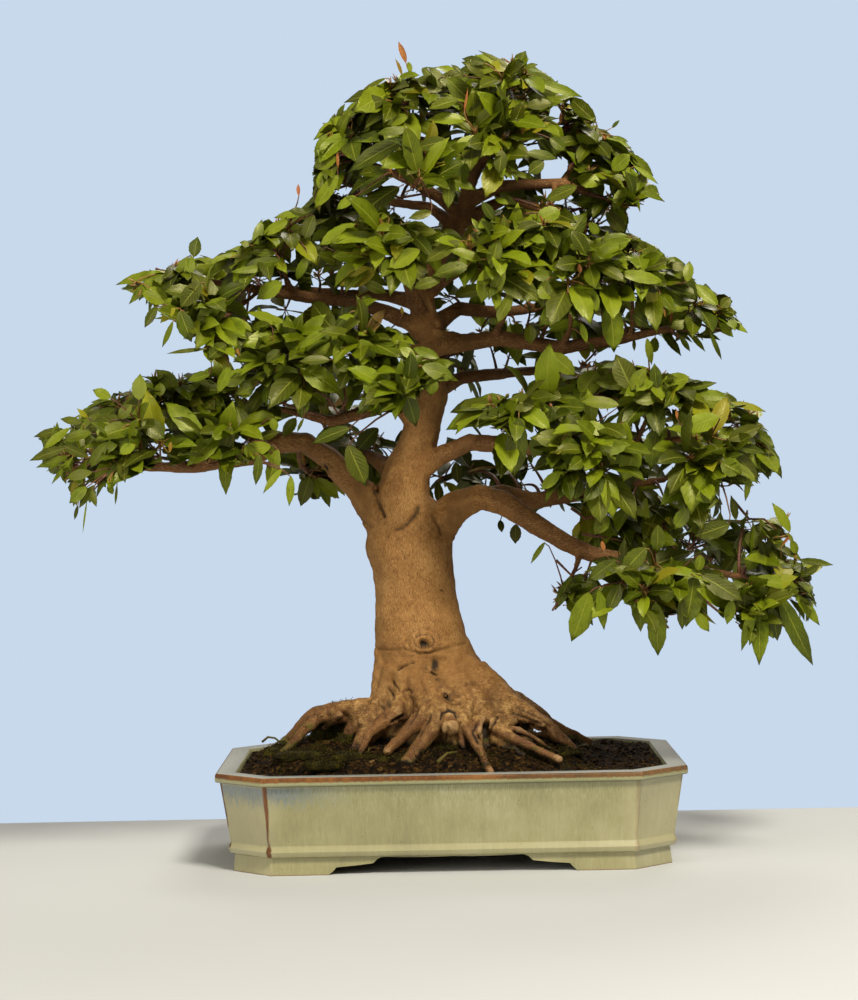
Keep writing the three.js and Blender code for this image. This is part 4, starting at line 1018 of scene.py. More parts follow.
# Single leaves that stand clear in front, dark ones behind the wood whose darkness is painted shade, and
# young shoots and buds. They were read off enlarged parts of the picture. Each group gives its part's left
# column and top row, how many times the part was enlarged, and for each leaf its base, its tip and its
# width there.
FRONT_LEAVES = (
    (520, 440, 4, (
        (205, 545, 145, 680, 45), (275, 610, 215, 805, 95), (315, 600, 340, 755, 50),
        (400, 575, 350, 680, 60), (470, 580, 485, 760, 70), (545, 650, 555, 873, 80),
        (700, 545, 665, 740, 100), (730, 540, 885, 635, 85), (905, 575, 895, 710, 80),
        (960, 640, 950, 895, 75), (1000, 665, 1040, 800, 60), (1035, 615, 1163, 905, 75),
        (1100, 615, 1208, 735, 50), (940, 660, 888, 840, 45), (945, 560, 1125, 575, 60),
        (965, 400, 995, 525, 55), (1080, 370, 1020, 255, 50), (1085, 400, 1112, 460, 35),
        (1115, 480, 1248, 495, 30), (930, 360, 935, 435, 70), (840, 335, 705, 385, 75),
        (725, 460, 710, 525, 45), (550, 340, 550, 455, 60), (505, 430, 405, 530, 80),
        (385, 480, 270, 565, 65), (575, 530, 590, 655, 80), (865, 320, 845, 222, 35),
        (690, 240, 795, 240, 90), (100, 410, 45, 490, 25), (915, 140, 903, 245, 28),
        (1000, 50, 1058, 155, 30), (190, 0, 235, 110, 75), (350, 300, 300, 375, 60),
        (160, 130, 90, 190, 50), (240, 165, 215, 235, 55), (670, 270, 620, 350, 60),
        (700, 690, 762, 770, 50), (650, 640, 650, 755, 45), (850, 640, 830, 735, 50),
        (950, 440, 910, 520, 60),
    )),
    (60, 380, 4, (
        (660, 280, 665, 448, 58), (800, 300, 785, 415, 40), (870, 275, 832, 425, 58),
        (890, 355, 810, 450, 30), (925, 385, 922, 500, 35), (1000, 385, 965, 500, 65),
        (1040, 400, 1080, 505, 40), (1015, 390, 1030, 470, 30), (640, 210, 515, 335, 90),
        (680, 185, 655, 300, 65), (715, 70, 710, 230, 78), (975, 50, 965, 150, 55),
        (850, 150, 865, 205, 35), (945, 150, 893, 225, 50), (975, 150, 945, 210, 18),
        (400, 90, 290, 135, 55), (565, 20, 440, 135, 50), (330, 160, 420, 230, 80),
        (320, 200, 240, 290, 80), (200, 410, 205, 455, 25), (785, 10, 708, 60, 60),
        (845, 262, 720, 290, 60), (740, 260, 790, 330, 50), (1160, 190, 1010, 240, 60),
        (1150, 260, 1225, 420, 90), (1240, 70, 1190, 125, 45), (1250, 90, 1290, 140, 50),
        (600, 100, 565, 185, 35),
    )),
    (290, 30, 5, (
        (660, 310, 510, 340, 70), (470, 350, 305, 390, 90), (480, 240, 350, 300, 25),
        (480, 490, 225, 480, 65), (300, 430, 120, 530, 75), (590, 540, 280, 680, 110),
        (590, 500, 430, 510, 50), (235, 640, 110, 680, 80), (240, 725, 125, 890, 70),
        (790, 555, 625, 580, 80), (960, 545, 820, 575, 70), (850, 620, 855, 790, 95),
        (800, 720, 790, 890, 70), (780, 235, 960, 405, 110), (660, 190, 790, 290, 90),
        (840, 350, 690, 390, 85), (880, 450, 695, 440, 75), (760, 300, 665, 295, 40),
        (640, 340, 600, 395, 50), (975, 165, 865, 140, 50), (1020, 200, 870, 195, 50),
        (1110, 195, 955, 100, 30), (1130, 200, 1175, 105, 75), (1170, 190, 1235, 170, 30),
        (1110, 205, 1005, 240, 40), (1180, 380, 1320, 360, 65), (865, 225, 812, 172, 32),
        (1060, 600, 1045, 715, 70), (1140, 570, 1060, 640, 60), (730, 770, 655, 760, 55),
        (590, 160, 605, 215, 28), (185, 520, 125, 600, 35), (590, 430, 480, 470, 60),
        (180, 700, 140, 790, 55), (80, 920, 0, 900, 60), (330, 830, 235, 890, 50), (490, 930, 330, 940, 60),
        (710, 910, 600, 940, 50), (960, 860, 1025, 950, 55), (1165, 890, 1040, 950, 60),
        (1090, 870, 1020, 835, 35),
    )),
    (70, 200, 5, (
        (470, 365, 215, 405, 65), (430, 375, 285, 520, 50), (470, 520, 350, 450, 60),
        (400, 440, 485, 500, 70), (435, 530, 375, 628, 50), (525, 540, 455, 610, 50),
        (515, 605, 458, 740, 32), (620, 285, 635, 190, 75), (590, 285, 515, 415, 65),
        (610, 280, 585, 400, 60), (655, 410, 550, 540, 90), (550, 555, 605, 700, 90),
        (775, 490, 625, 620, 90), (790, 500, 725, 615, 60), (800, 290, 660, 370, 60),
        (1050, 300, 850, 330, 65), (1000, 340, 800, 360, 40), (920, 400, 725, 460, 45),
        (920, 240, 960, 92, 50), (900, 225, 850, 210, 35), (1090, 100, 960, 180, 55),
        (1180, 60, 1020, 80, 45), (1080, 200, 960, 235, 50), (1030, 270, 900, 255, 45),
        (1060, 410, 935, 490, 90), (1110, 760, 1085, 585, 80), (1000, 620, 895, 640, 55),
        (1310, 640, 1130, 735, 60), (1080, 780, 1085, 1000, 130), (1150, 830, 1350, 950, 130),
        (1300, 800, 1150, 800, 60), (780, 720, 690, 790, 85), (885, 850, 765, 930, 80),
        (920, 930, 835, 975, 80), (1020, 870, 900, 890, 55), (540, 950, 440, 850, 85),
        (345, 1000, 345, 875, 85), (205, 990, 115, 945, 55), (450, 980, 450, 915, 60),
        (700, 870, 590, 900, 50), (690, 915, 550, 990, 60), (800, 830, 740, 960, 55),
        (1050, 750, 980, 815, 65), (1000, 680, 925, 740, 50), (1340, 790, 1330, 880, 50),
        (680, 745, 490, 760, 25),
    )),
    (290, 200, 5, (
        (325, 120, 145, 215, 75), (330, 110, 375, 265, 110), (120, 75, 65, 200, 70),
        (335, 230, 210, 205, 50), (160, 240, 130, 350, 85), (90, 280, 25, 400, 50),
        (250, 290, 215, 355, 60), (430, 350, 245, 420, 100), (630, 180, 450, 190, 85),
        (650, 250, 490, 330, 90), (850, 205, 680, 300, 75), (960, 165, 910, 90, 32),
        (1070, 80, 1080, 220, 50), (1110, 110, 1180, 190, 45), (1040, 200, 1005, 340, 80),
        (960, 300, 800, 240, 60), (890, 330, 720, 370, 90), (990, 340, 960, 510, 90),
        (1070, 340, 1005, 480, 70), (1210, 330, 1155, 520, 80), (1280, 400, 1260, 540, 80),
        (1110, 470, 1030, 615, 70), (755, 400, 610, 430, 65), (760, 500, 720, 545, 45),
        (365, 480, 410, 525, 60), (370, 410, 480, 465, 60), (240, 710, 455, 655, 60),
        (300, 560, 220, 650, 50), (340, 700, 415, 815, 110), (480, 720, 410, 780, 70),
        (550, 740, 630, 785, 55), (745, 790, 615, 735, 55), (660, 830, 820, 885, 90),
        (300, 850, 225, 790, 85), (400, 840, 620, 990, 150), (420, 850, 470, 1000, 90),
        (370, 900, 450, 980, 80), (590, 830, 600, 900, 60), (640, 900, 600, 960, 60),
        (720, 890, 700, 975, 70), (1180, 130, 1280, 150, 45), (1300, 200, 1200, 190, 45),
        (1220, 310, 1300, 360, 60), (1215, 640, 1200, 720, 40),
    )),
    (500, 80, 5, (
        (180, 10, 400, 70, 55), (480, 210, 340, 75, 80), (430, 210, 315, 150, 55), (380, 270, 520, 380, 70),
        (250, 290, 330, 350, 65), (130, 365, 290, 380, 60), (220, 410, 140, 465, 70),
        (50, 460, 180, 490, 32), (370, 410, 430, 470, 60), (385, 490, 510, 520, 90),
        (385, 530, 225, 600, 70), (560, 450, 650, 370, 80), (640, 370, 765, 475, 60),
        (670, 430, 785, 510, 28), (610, 440, 705, 520, 75), (630, 490, 550, 490, 45),
        (640, 510, 825, 600, 45), (660, 540, 712, 655, 26), (625, 535, 565, 650, 60),
        (530, 660, 630, 760, 75), (445, 715, 500, 770, 50), (640, 780, 500, 790, 55),
        (650, 800, 810, 865, 50), (710, 850, 850, 940, 100), (840, 920, 930, 945, 55),
        (560, 240, 595, 200, 20), (570, 280, 640, 305, 18), (390, 850, 465, 800, 80),
        (450, 800, 310, 760, 50), (280, 800, 170, 800, 45), (160, 840, 360, 920, 90),
        (300, 650, 180, 700, 100), (100, 640, 10, 680, 50),
    )),
    (480, 260, 4.6, (
        (390, 180, 285, 300, 90), (410, 155, 470, 245, 65), (495, 130, 540, 240, 65),
        (600, 200, 620, 415, 110), (465, 290, 490, 380, 32), (500, 380, 525, 425, 30),
        (710, 365, 710, 420, 20), (770, 360, 790, 480, 35), (840, 330, 925, 435, 45),
        (920, 350, 965, 420, 28), (960, 330, 1035, 420, 28), (1060, 330, 1117, 465, 22),
        (700, 250, 780, 310, 50), (780, 90, 800, 265, 60), (640, 60, 850, 90, 60), (640, 30, 450, 70, 45),
        (1095, 205, 985, 105, 65), (1110, 220, 1150, 170, 50), (950, 100, 965, 5, 50),
        (1170, 255, 1110, 235, 40), (1140, 285, 1232, 325, 40), (1100, 290, 1165, 350, 40),
        (970, 290, 870, 310, 50), (980, 170, 900, 190, 40), (240, 70, 370, 80, 60),
        (230, 300, 230, 385, 60), (520, 465, 610, 540, 26), (700, 600, 630, 440, 110),
        (760, 500, 690, 600, 70), (815, 590, 800, 485, 60), (320, 430, 440, 530, 80),
        (410, 540, 470, 590, 50), (540, 510, 460, 620, 110), (250, 670, 140, 640, 90),
        (110, 770, 25, 715, 65), (180, 720, 155, 1005, 110), (275, 800, 250, 910, 80),
        (320, 750, 350, 850, 75), (345, 690, 480, 780, 110), (400, 810, 430, 950, 95),
        (485, 750, 585, 800, 70), (665, 740, 610, 960, 125), (720, 850, 660, 1011, 100),
        (820, 760, 780, 960, 100), (930, 780, 1065, 1005, 75), (1100, 720, 940, 770, 110),
        (950, 595, 1080, 562, 40), (1000, 620, 1140, 620, 55), (1150, 660, 1310, 685, 40),
        (1160, 680, 1260, 730, 40), (1140, 830, 1290, 765, 75), (1140, 860, 1334, 870, 60),
        (1170, 890, 1290, 1010, 75), (1110, 930, 1200, 980, 90), (1140, 900, 1010, 850, 50),
        (960, 540, 820, 590, 90), (640, 665, 470, 645, 70), (820, 640, 700, 640, 70),
        (700, 700, 730, 760, 50),
    )),
    (15, 390, 6, (
        (300, 240, 95, 270, 60), (330, 230, 160, 350, 60), (460, 260, 270, 290, 70),
        (300, 350, 105, 415, 65), (315, 395, 135, 460, 45), (350, 400, 230, 550, 35),
        (460, 490, 290, 525, 65), (430, 580, 320, 680, 70), (480, 570, 365, 700, 60),
        (375, 690, 355, 780, 25), (460, 600, 485, 695, 40), (430, 660, 410, 850, 12),
        (560, 570, 590, 625, 40), (610, 570, 600, 690, 20), (560, 190, 515, 305, 110),
        (560, 310, 435, 460, 80), (440, 400, 280, 330, 60), (400, 200, 275, 165, 55),
        (440, 170, 375, 115, 30), (700, 90, 610, 170, 80), (640, 230, 560, 370, 70),
        (720, 330, 625, 380, 70),
    )),
    (300, 370, 5, (
        (520, 80, 585, 290, 90), (395, 160, 320, 200, 60),
    )),
)
BACK_LEAVES = (
    (300, 370, 5, (
        (200, 380, 290, 540, 100), (270, 400, 360, 570, 90), (250, 290, 70, 350, 90),
        (390, 290, 280, 400, 90), (430, 460, 385, 540, 55), (620, 560, 660, 705, 60),
        (690, 560, 700, 680, 50), (780, 460, 790, 570, 60), (600, 540, 590, 650, 40),
        (1000, 750, 1010, 810, 35), (1080, 770, 1075, 865, 60), (1100, 560, 1100, 620, 30),
    )),
)
SHOOTS = (
    (290, 30, 5, (
        (580, 165, 543, 62, 38), (560, 230, 530, 145, 25), (210, 600, 205, 505, 60), (45, 830, 38, 770, 25),
        (665, 450, 660, 395, 40), (870, 410, 890, 290, 16), (1155, 540, 1190, 415, 20),
        (240, 690, 235, 600, 20),
    )),
    (500, 80, 5, (
        (300, 220, 305, 160, 22), (530, 300, 515, 265, 22),
    )),
    (480, 260, 4.6, (
        (460, 60, 455, 18, 26), (880, 290, 885, 235, 18), (850, 260, 848, 225, 16),
        (905, 730, 905, 685, 18), (325, 700, 320, 660, 14),
    )),
    (70, 200, 5, (
        (1075, 360, 1070, 310, 30), (850, 780, 820, 720, 20), (1090, 240, 1085, 190, 16),
    )),
    (60, 380, 4, (
        (440, 290, 443, 250, 20),
    )),
    (520, 440, 4, (
        (335, 445, 330, 405, 25), (400, 460, 403, 430, 18), (1050, 420, 1075, 385, 14),
    )),
    (290, 200, 5, (
        (565, 570, 555, 535, 26), (490, 720, 480, 680, 10), (540, 760, 535, 710, 12),
    )),
)
NARROWEST_LEAF = 2
TRACED_YELLOW_CHANCE = 0.015
# How far a traced leaf stands before the twig's end that is seen nearest to it, and how far at least
# behind the front of the room
BEFORE_TWIG = (14, 26)
FRONT_MARGIN = 30

# Bare twigs that show between the pads: first radius, last radius, depth, line
TWIGS = (
    (1.9, 1.1, -4, ((391, 155), (407, 178), (441, 201), (461, 217))),
    (1.8, 1.0, 6, ((380, 186), (399, 198), (422, 194), (457, 209))),
    (1.4, 0.9, 0, ((368, 163), (380, 190), (388, 205))),
    (1.4, 0.8, 2, ((415, 163), (413, 182), (422, 194))),
    (1.5, 1.0, -6, ((445, 167), (457, 178), (472, 175))),
    (2.0, 1.0, -8, ((484, 194), (503, 186), (534, 182), (561, 186), (599, 198), (615, 194))),
    (1.9, 1.0, -2, ((495, 194), (522, 201), (545, 209), (576, 209))),
    (1.4, 0.8, -4, ((545, 209), (561, 194), (568, 190))),
    (1.6, 0.9, -8, ((503, 151), (511, 128), (513, 113))),
    (1.5, 0.9, -8, ((476, 140), (472, 117))), (1.7, 1.0, -60, ((314, 388), (329, 399), (338, 414))),
    (1.5, 0.9, -62, ((344, 388), (346, 402), (338, 414))),
    (1.8, 1.1, -58, ((264, 388), (279, 402), (305, 411), (326, 417))),
    (1.8, 1.0, 30, ((571, 508), (586, 519), (616, 508), (645, 504))),
    (1.6, 0.9, 10, ((582, 534), (608, 538), (627, 541))),
    (1.5, 0.9, 20, ((638, 516), (634, 493), (641, 471))),
    (1.8, 1.0, 24, ((682, 508), (667, 523), (645, 530), (619, 541))),
    (1.8, 1.0, -40, ((701, 597), (719, 612), (734, 601), (764, 597))),
    (1.5, 0.9, -30, ((556, 560), (571, 575), (582, 567))),
    (1.6, 0.9, -20, ((734, 501), (749, 519), (764, 519), (782, 534))),
)
BACK_DEPTH = 62

# The first seed of each kind of foliage; every spray, tuft and traced leaf has its own
SPRAY_SEED = 1000
INNER_SEED = 3000
TRACED_SEED = 5000


def grow_inner_tufts(tree):
    """Tufts at given places, each on a twig from the nearest wood."""
    foliage = Foliage("inner_tufts", len(INNER_TUFTS) * (2 * LEAVES_PER_TUFT + BUDS_PER_TUFT + 1))
    for number, spot in enumerate(INNER_TUFTS):
        rng = np.random.default_rng(INNER_SEED + number)
        tip = seen_at(*spot)
        root = np.array(tree.find_nearest(tip.tolist())[0])
        apart = np.linalg.norm(tip - root)
        heading = unit(unit(tip - root) + UP * 0.3)
        bend = UP * 0.18 * apart + rng.normal(0, 0.06, 3) * apart
        twig = curve(root, root + (tip - root) * 0.3 + bend, tip - heading * 0.3 * apart + bend / 2, tip, 7)
        foliage.wood(twig, np.linspace(1.5 + apart / 90, 0.8, 8), 5, 0.15)
        lean = 0.25 * unit(tip - root) + 0.25 * FACING
        grow_tuft(foliage, tip, heading, lean, 0.1, (ROOM_LOW, ROOM_HIGH), rng)
    return foliage


def traced_leaves():
    """Every traced leaf: its kind, and its base, tip and width in whole columns and rows."""
    for kind, groups in (("front", FRONT_LEAVES), ("back", BACK_LEAVES), ("shoot", SHOOTS)):
        for left, top, enlarged, leaves in groups:
            for column, row, tip_column, tip_row, width in leaves:
                base = round(left + column / enlarged), round(top + row / enlarged)
                tip = round(left + tip_column / enlarged), round(top + tip_row / enlarged)
                yield kind, base, tip, max(NARROWEST_LEAF, round(width / enlarged))


def traced_form(kind, rng):
    """A traced leaf's tint, arch and fold. Young shoots are bronze, leaves behind the wood are made dark as
    painted shade, and few leaves are yellow.
    """
    if kind == "shoot":
        return (0.7, 0.3, rng.uniform(0.4, 1.0)), 0.2, 0.7
    # Leaves behind the wood get painted shade: they are made darker
    light = rng.uniform(0.0, 0.3) if kind == "back" else rng.uniform(0.1, 0.9)
    yellow = rng.uniform(0.4, 0.8) if rng.random() < TRACED_YELLOW_CHANCE else rng.uniform(0, 0.12)
    return (light, yellow, 0.0), rng.uniform(0.15, 0.5), rng.uniform(0.1, 0.3)


def traced_blade(foliage, twig, base, tip, width, form, rng):
    """A leaf that the camera sees at given places, on a stalk from its twig."""
    tint, arch, fold = form
    length = np.linalg.norm(tip - base) * rng.uniform(1.03, 1.1)
    along = unit(unit(tip - base) + FACING * rng.uniform(-0.2, 0.3))
    normal = FACING + UP * rng.uniform(0.1, 0.5) + rng.normal(0, 0.14, 3)
    normal = unit(normal - along * normal.dot(along))
    points = leaf_blade(
        base, along, normal, length, width, arch, fold, rng.uniform(-0.25, 0.25), rng.uniform(0.02, 0.06),
    )
    if not ((points > ROOM_LOW).all() and (points < ROOM_HIGH).all()):
        return
    foliage.blade(points, tint)
    apart = np.linalg.norm(base - twig)
    stalk = curve(twig, twig + UP * 0.15 * apart, base - along * STALK_LENGTH, base + along, 4)
    foliage.wood(stalk, np.linspace(0.7 + apart / 90, 0.5, 5), 4, 0.8 if apart < 30 else 0.3)


def traced_depth(kind, base, ends, rng):
    """How deep a traced leaf stands: behind the wood, or a little before the twigs seen near it."""
    if kind == "back":
        return BACK_DEPTH
    columns, rows = picture_place(ends)
    nearest = np.argmin(np.hypot(columns - base[0], rows - base[1]) + 0.25 * ends[:, 1])
    return max(ends[nearest][1] - rng.uniform(*BEFORE_TWIG), ROOM_LOW[1] + FRONT_MARGIN)


def grow_traced_leaves(ends, tree):
    """The bare twigs, leaves and shoots that were read off the picture, each on its nearest wood."""
    traced = list(traced_leaves())
    foliage = Foliage("front_leaves", 2 * len(traced) + len(TWIGS))
    for first, last, depth, line in TWIGS:
        line = [seen_at(column, row, depth) for column, row in line]
        foliage.wood(line, np.linspace(first, last, len(line)), 6, 0.1)
    for number, (kind, base, tip, wide) in enumerate(traced):
        rng = np.random.default_rng(TRACED_SEED + number)
        depth = traced_depth(kind, base, ends, rng)
        place = seen_at(*base, depth)
        twig = ends[np.argmin(np.linalg.norm(ends - place, axis=1))]
        wood = np.array(tree.find_nearest(place.tolist())[0])
        if np.linalg.norm(wood - place) < np.linalg.norm(twig - place):
            twig = wood
        width = wide * (depth - CAMERA_PLACE[1]) / FOCAL_PIXELS
        form = traced_form(kind, rng)
        traced_blade(foliage, twig, place, seen_at(*tip, depth), width, form, rng)
    return foliage


# Wood
VOXEL = 1.75
WOOD_TRIANGLES = 150000

# Lines on the wood, as columns and rows of the picture. Each end of a root stands on the wood, on the
# soil or at a depth in millimetres.
WOOD = "wood"
SOIL = "soil"

# Ridges down the flare, all on the wood: first radius, last radius, line
RIDGES = (
    (8, 8, ((393, 668), (388, 680), (384, 692), (379, 704), (371, 716), (362, 728))),
    (7, 5, ((404, 672), (402, 686), (400, 700), (397, 712))),
    (8, 5, ((414, 674), (418, 690), (424, 704), (427, 716))),
    (9, 7, ((425, 672), (432, 686), (437, 700), (438, 714), (436, 724))),
    (9, 6, ((434, 676), (446, 688), (457, 698), (464, 709), (463, 722))),
    (3.6, 3.6, ((441, 717), (442, 708), (449, 704), (456, 708), (459, 717))),
    (10, 8, ((462, 662), (474, 672), (484, 684), (494, 698), (503, 712), (510, 724))),
    (9, 6, ((478, 668), (492, 682), (506, 696), (519, 707), (532, 715), (545, 725))),
    (8, 5, ((470, 692), (477, 705), (480, 718), (476, 732))),
)

# Roots: first radius, last radius, where each end stands, line
ROOTS = (
    (8, 4, WOOD, -15, ((372, 706), (350, 708), (330, 711), (316, 712), (307, 718), (298, 728),
        (290, 737), (283, 743))),
    (3.4, 2.6, -40, SOIL, ((340, 714), (330, 722), (323, 731), (322, 739))),
    (10, 7, WOOD, SOIL, ((372, 708), (362, 718), (354, 729), (348, 741))),
    (3.1, 1.3, WOOD, SOIL, ((399, 714), (389, 713), (380, 717), (373, 725), (366, 733), (361, 741),
        (360, 748))),
    (2.8, 1.1, WOOD, SOIL, ((422, 720), (413, 730), (404, 735), (395, 741), (387, 747))),
    (6, 4.2, WOOD, SOIL, ((437, 722), (431, 732), (423, 742), (413, 751))),
    (3.6, 2.2, WOOD, SOIL, ((461, 726), (461, 737), (464, 749))),
    (3.6, 1.4, WOOD, SOIL, ((463, 720), (468, 733), (474, 745), (481, 756), (488, 767))),
    (2.4, 1.4, WOOD, SOIL, ((476, 746), (483, 751), (488, 758))),
    (9, 7, WOOD, SOIL, ((502, 720), (495, 731), (499, 741), (511, 745))),
    (2.9, 1.1, WOOD, SOIL, ((504, 727), (516, 729), (528, 734), (538, 740), (547, 747), (557, 751),
        (567, 754))),
    (3.6, 2, WOOD, SOIL, ((510, 738), (521, 741), (532, 742))),
    (3.7, 1.5, WOOD, SOIL, ((520, 712), (532, 716), (543, 723), (553, 729), (563, 735), (571, 741))),
    (4.2, 1.4, WOOD, 20, ((535, 709), (546, 715), (553, 723), (563, 728), (573, 732), (583, 737),
        (592, 741))),
    (4.2, 1.5, WOOD, SOIL, ((530, 737), (541, 735), (552, 737), (563, 741), (574, 748))),
)

# Rootlets that lie on the soil, in the same way
ROOTLETS = (
    (1.1, 0.6, SOIL, SOIL, ((368, 741), (371, 747), (370, 753), (367, 757))),
    (1.6, 0.9, SOIL, SOIL, ((577, 748), (587, 750), (600, 749))),
    (2.2, 1.4, SOIL, SOIL, ((438, 763), (447, 758), (457, 753))),
    (1.4, 1, 0, 0, ((262, 742), (268, 737), (275, 738), (281, 743))),
    (1.2, 0.8, -10, -30, ((272, 748), (279, 741), (286, 740), (292, 746))),
    (2.2, 1.3, SOIL, SOIL, ((370, 764), (376, 761), (383, 759))),
)

# Folds and slits in the bark: half width, depth, how dark their painted shade is, line
CREASES = (
    (2.8, 3.5, 0.55, ((376, 490), (377, 500), (380, 508), (383, 516))),
    (1.6, 2, 0.4, ((358, 516), (364, 523), (371, 527))),
    (2.8, 3.5, 0.55, ((394, 530), (401, 528), (408, 523), (415, 516), (419, 508))),
    (1.7, 1.6, 0.35, ((432, 514), (436, 520), (441, 532))),
    (3.4, 6, 1, ((423, 643), (425, 643))),
    (1.5, 2.4, 0.65, ((397, 669), (403, 667), (409, 664), (414, 663))),
    (1.5, 2, 0.6, ((393, 681), (396, 686), (399, 689))),
    (1.4, 1.8, 0.55, ((388, 688), (392, 693), (394, 697))),
    (1.4, 1.8, 0.55, ((404, 691), (409, 689), (412, 692))),
    (1.5, 1.3, 0.35, ((376, 649), (390, 650), (405, 649), (414, 652), (430, 653), (446, 648),
        (458, 645), (466, 642))),
    (11, 6, 0.24, ((434, 668), (438, 675), (443, 682), (450, 688), (457, 694))),
    (3.4, 1, 0.14, ((438, 677), (443, 684), (450, 690), (457, 696))),
    (1, 0.6, 0.2, ((400, 622), (410, 621), (420, 623))),
    (1.6, 1.3, 0.3, ((480, 492), (484, 500), (486, 508))),
    (1.6, 1, 0.25, ((493, 495), (497, 503), (498, 510))),
    (2.8, 4, 1, ((324, 468), (326, 470))),
    (6, 8, 1, ((519, 730), (530, 728), (540, 732))),
    (3, 5, 0.9, ((486, 724), (485, 732), (486, 740))),
    (1.8, 3, 0.9, ((441, 718), (443, 711), (449, 708), (455, 711), (457, 716))),
    (1.2, 1.2, 0.6, ((515, 707), (527, 712), (540, 718), (550, 727))),
    (1.3, 1.5, 0.7, ((513, 713), (527, 717), (541, 723))),
    (2, 3, 0.9, ((403, 716), (398, 719), (393, 722))),
    (1.4, 1, 0.8, ((441, 590), (443, 591))),
    (1.6, 1.2, 0.5, ((378, 700), (384, 708), (386, 718))),
    (1.6, 1.6, 0.6, ((418, 708), (416, 716), (410, 724))),
    (1.6, 1.6, 0.6, ((431, 712), (428, 722), (420, 732))),
    (2, 2.4, 0.8, ((476, 722), (473, 732), (478, 742))),
    (1.6, 2.2, 0.8, ((497, 716), (492, 726), (489, 736))),
    (1.5, 1.6, 0.6, ((448, 728), (446, 738), (443, 748))),
)

# Rings round the two knots: half width, depth, how dark their painted shade is, middle, reach across and
# down, first and last turn in degrees
KNOT_RINGS = (
    (1.5, 1.4, 0.5, 424, 641, 10, 7, 0, 360), (1.4, 1, 0.35, 424, 640, 17, 11, 160, 380),
    (1.4, 1, 0.4, 325, 469, 7, 6, 0, 360),
)
# How far ridges and roots are sunk into the wood, as shares of their radii
RIDGE_SUNK = 0.35
ROOT_SUNK = 0.2
ROOT_SIDES = 10
ROOTLET_SIDES = 7
SOIL_FRONT = -130
SOIL_DEPTHS = np.arange(-150, 150, 0.5)


class Sight:
    """Finds how deep in the picture the solid wood and the soil stand."""

    def __init__(self):
        self.tree = wood_tree()

    def on_wood(self, column, row):
        """The wood's depth there, or no number where the camera sees past the wood."""
        ray = unit(seen_at(column, row, 0) - CAMERA_PLACE)
        hit = self.tree.ray_cast(CAMERA_PLACE.tolist(), ray.tolist())[0]
        return math.nan if hit is None else hit[1]

    def on_soil(self, column, row):
        """The depth at which the line of sight first meets the soil."""
        for depth in SOIL_DEPTHS:
            x, _, z = seen_at(column, row, depth)
            if z <= soil_height(x, depth):
                return depth
        return SOIL_FRONT

    def depth(self, place, column, row):
        """The depth on the wood, on the soil or as given."""
        if place == WOOD:
            return self.on_wood(column, row)
        return self.on_soil(column, row) if place == SOIL else place

    def line(self, line, sunk, first, last, between=math.nan):
        """A line's points in millimetres, sunk by lengths into the wood where they stand on it."""
        places = [first, *[between] * (len(line) - 2), last]
        depths = np.array([self.depth(place, *spot) for place, spot in zip(places, line)], float)
        depths = depths + np.array([place == WOOD for place in places]) * sunk
        known = np.nonzero(~np.isnan(depths))[0]
        depths = np.interp(range(len(line)), known, depths[known])
        return np.array([seen_at(*spot, depth) for spot, depth in zip(line, depths)])


def root_lines(sight):
    """Each ridge and root: its radii and its points."""
    for first, last, line in RIDGES:
        radii = np.linspace(first, last, len(line))
        yield first, last, sight.line(line, RIDGE_SUNK * radii, WOOD, WOOD, WOOD)
    for first, last, start, end, line in ROOTS:
        radii = np.linspace(first, last, len(line))
        yield first, last, sight.line(line, ROOT_SUNK * radii, start, end)


def crease_lines(sight):
    """Each fold, slit and ring: half width, depth, how dark its painted shade is and its points."""
    for width, depth, shade, line in CREASES:
        yield width, depth, shade, sight.line(line, 0, WOOD, WOOD, WOOD)
    for width, depth, shade, column, row, across, down, first, last in KNOT_RINGS:
        turns = np.radians(np.linspace(first, last, 11))
        line = np.column_stack([column + across * np.cos(turns), row + down * np.sin(turns)])
        yield width, depth, shade, sight.line(line, 0, WOOD, WOOD, WOOD)


def joined_wood(sight):
    """The solid wood with the ridges and small roots, merged in small even squares."""
    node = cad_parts["trunk"].data
    points = [mesh_points("trunk")]
    faces = [tuple(face.vertices) for face in node.polygons]
    count = len(points[0])
    for first, last, line in root_lines(sight):
        steps = np.linspace(0, len(line) - 1, 4 * len(line))
        smooth = np.stack([np.interp(steps, range(len(line)), axis) for axis in np.transpose(line)], axis=1)
        smooth[1:-1] = (smooth[:-2] + smooth[1:-1] + smooth[2:]) / 3
        more, shape, _ = tube(smooth, np.linspace(first, last, len(smooth)), ROOT_SIDES)
        points.append(more)
        faces.extend(tuple(k + count for k in face) for face in shape)
        count += len(more)
    mesh = bpy.data.meshes.new("rough_wood")
    mesh.from_pydata(to_frame(np.concatenate(points)).tolist(), [], faces)
    holder = placed("holder", mesh)
    even = holder.modifiers.new("even", "REMESH")
    even.mode = "VOXEL"
    even.voxel_size = VOXEL * MM
    result = applied(holder, "wood")
    bpy.data.objects.remove(holder)
    return result


def applied(holder, name):
    """A new mesh that an object's modifiers make."""
    graph = bpy.context.evaluated_depsgraph_get()
    mesh = bpy.data.meshes.new_from_object(holder.evaluated_get(graph))
    mesh.name = name
    return mesh


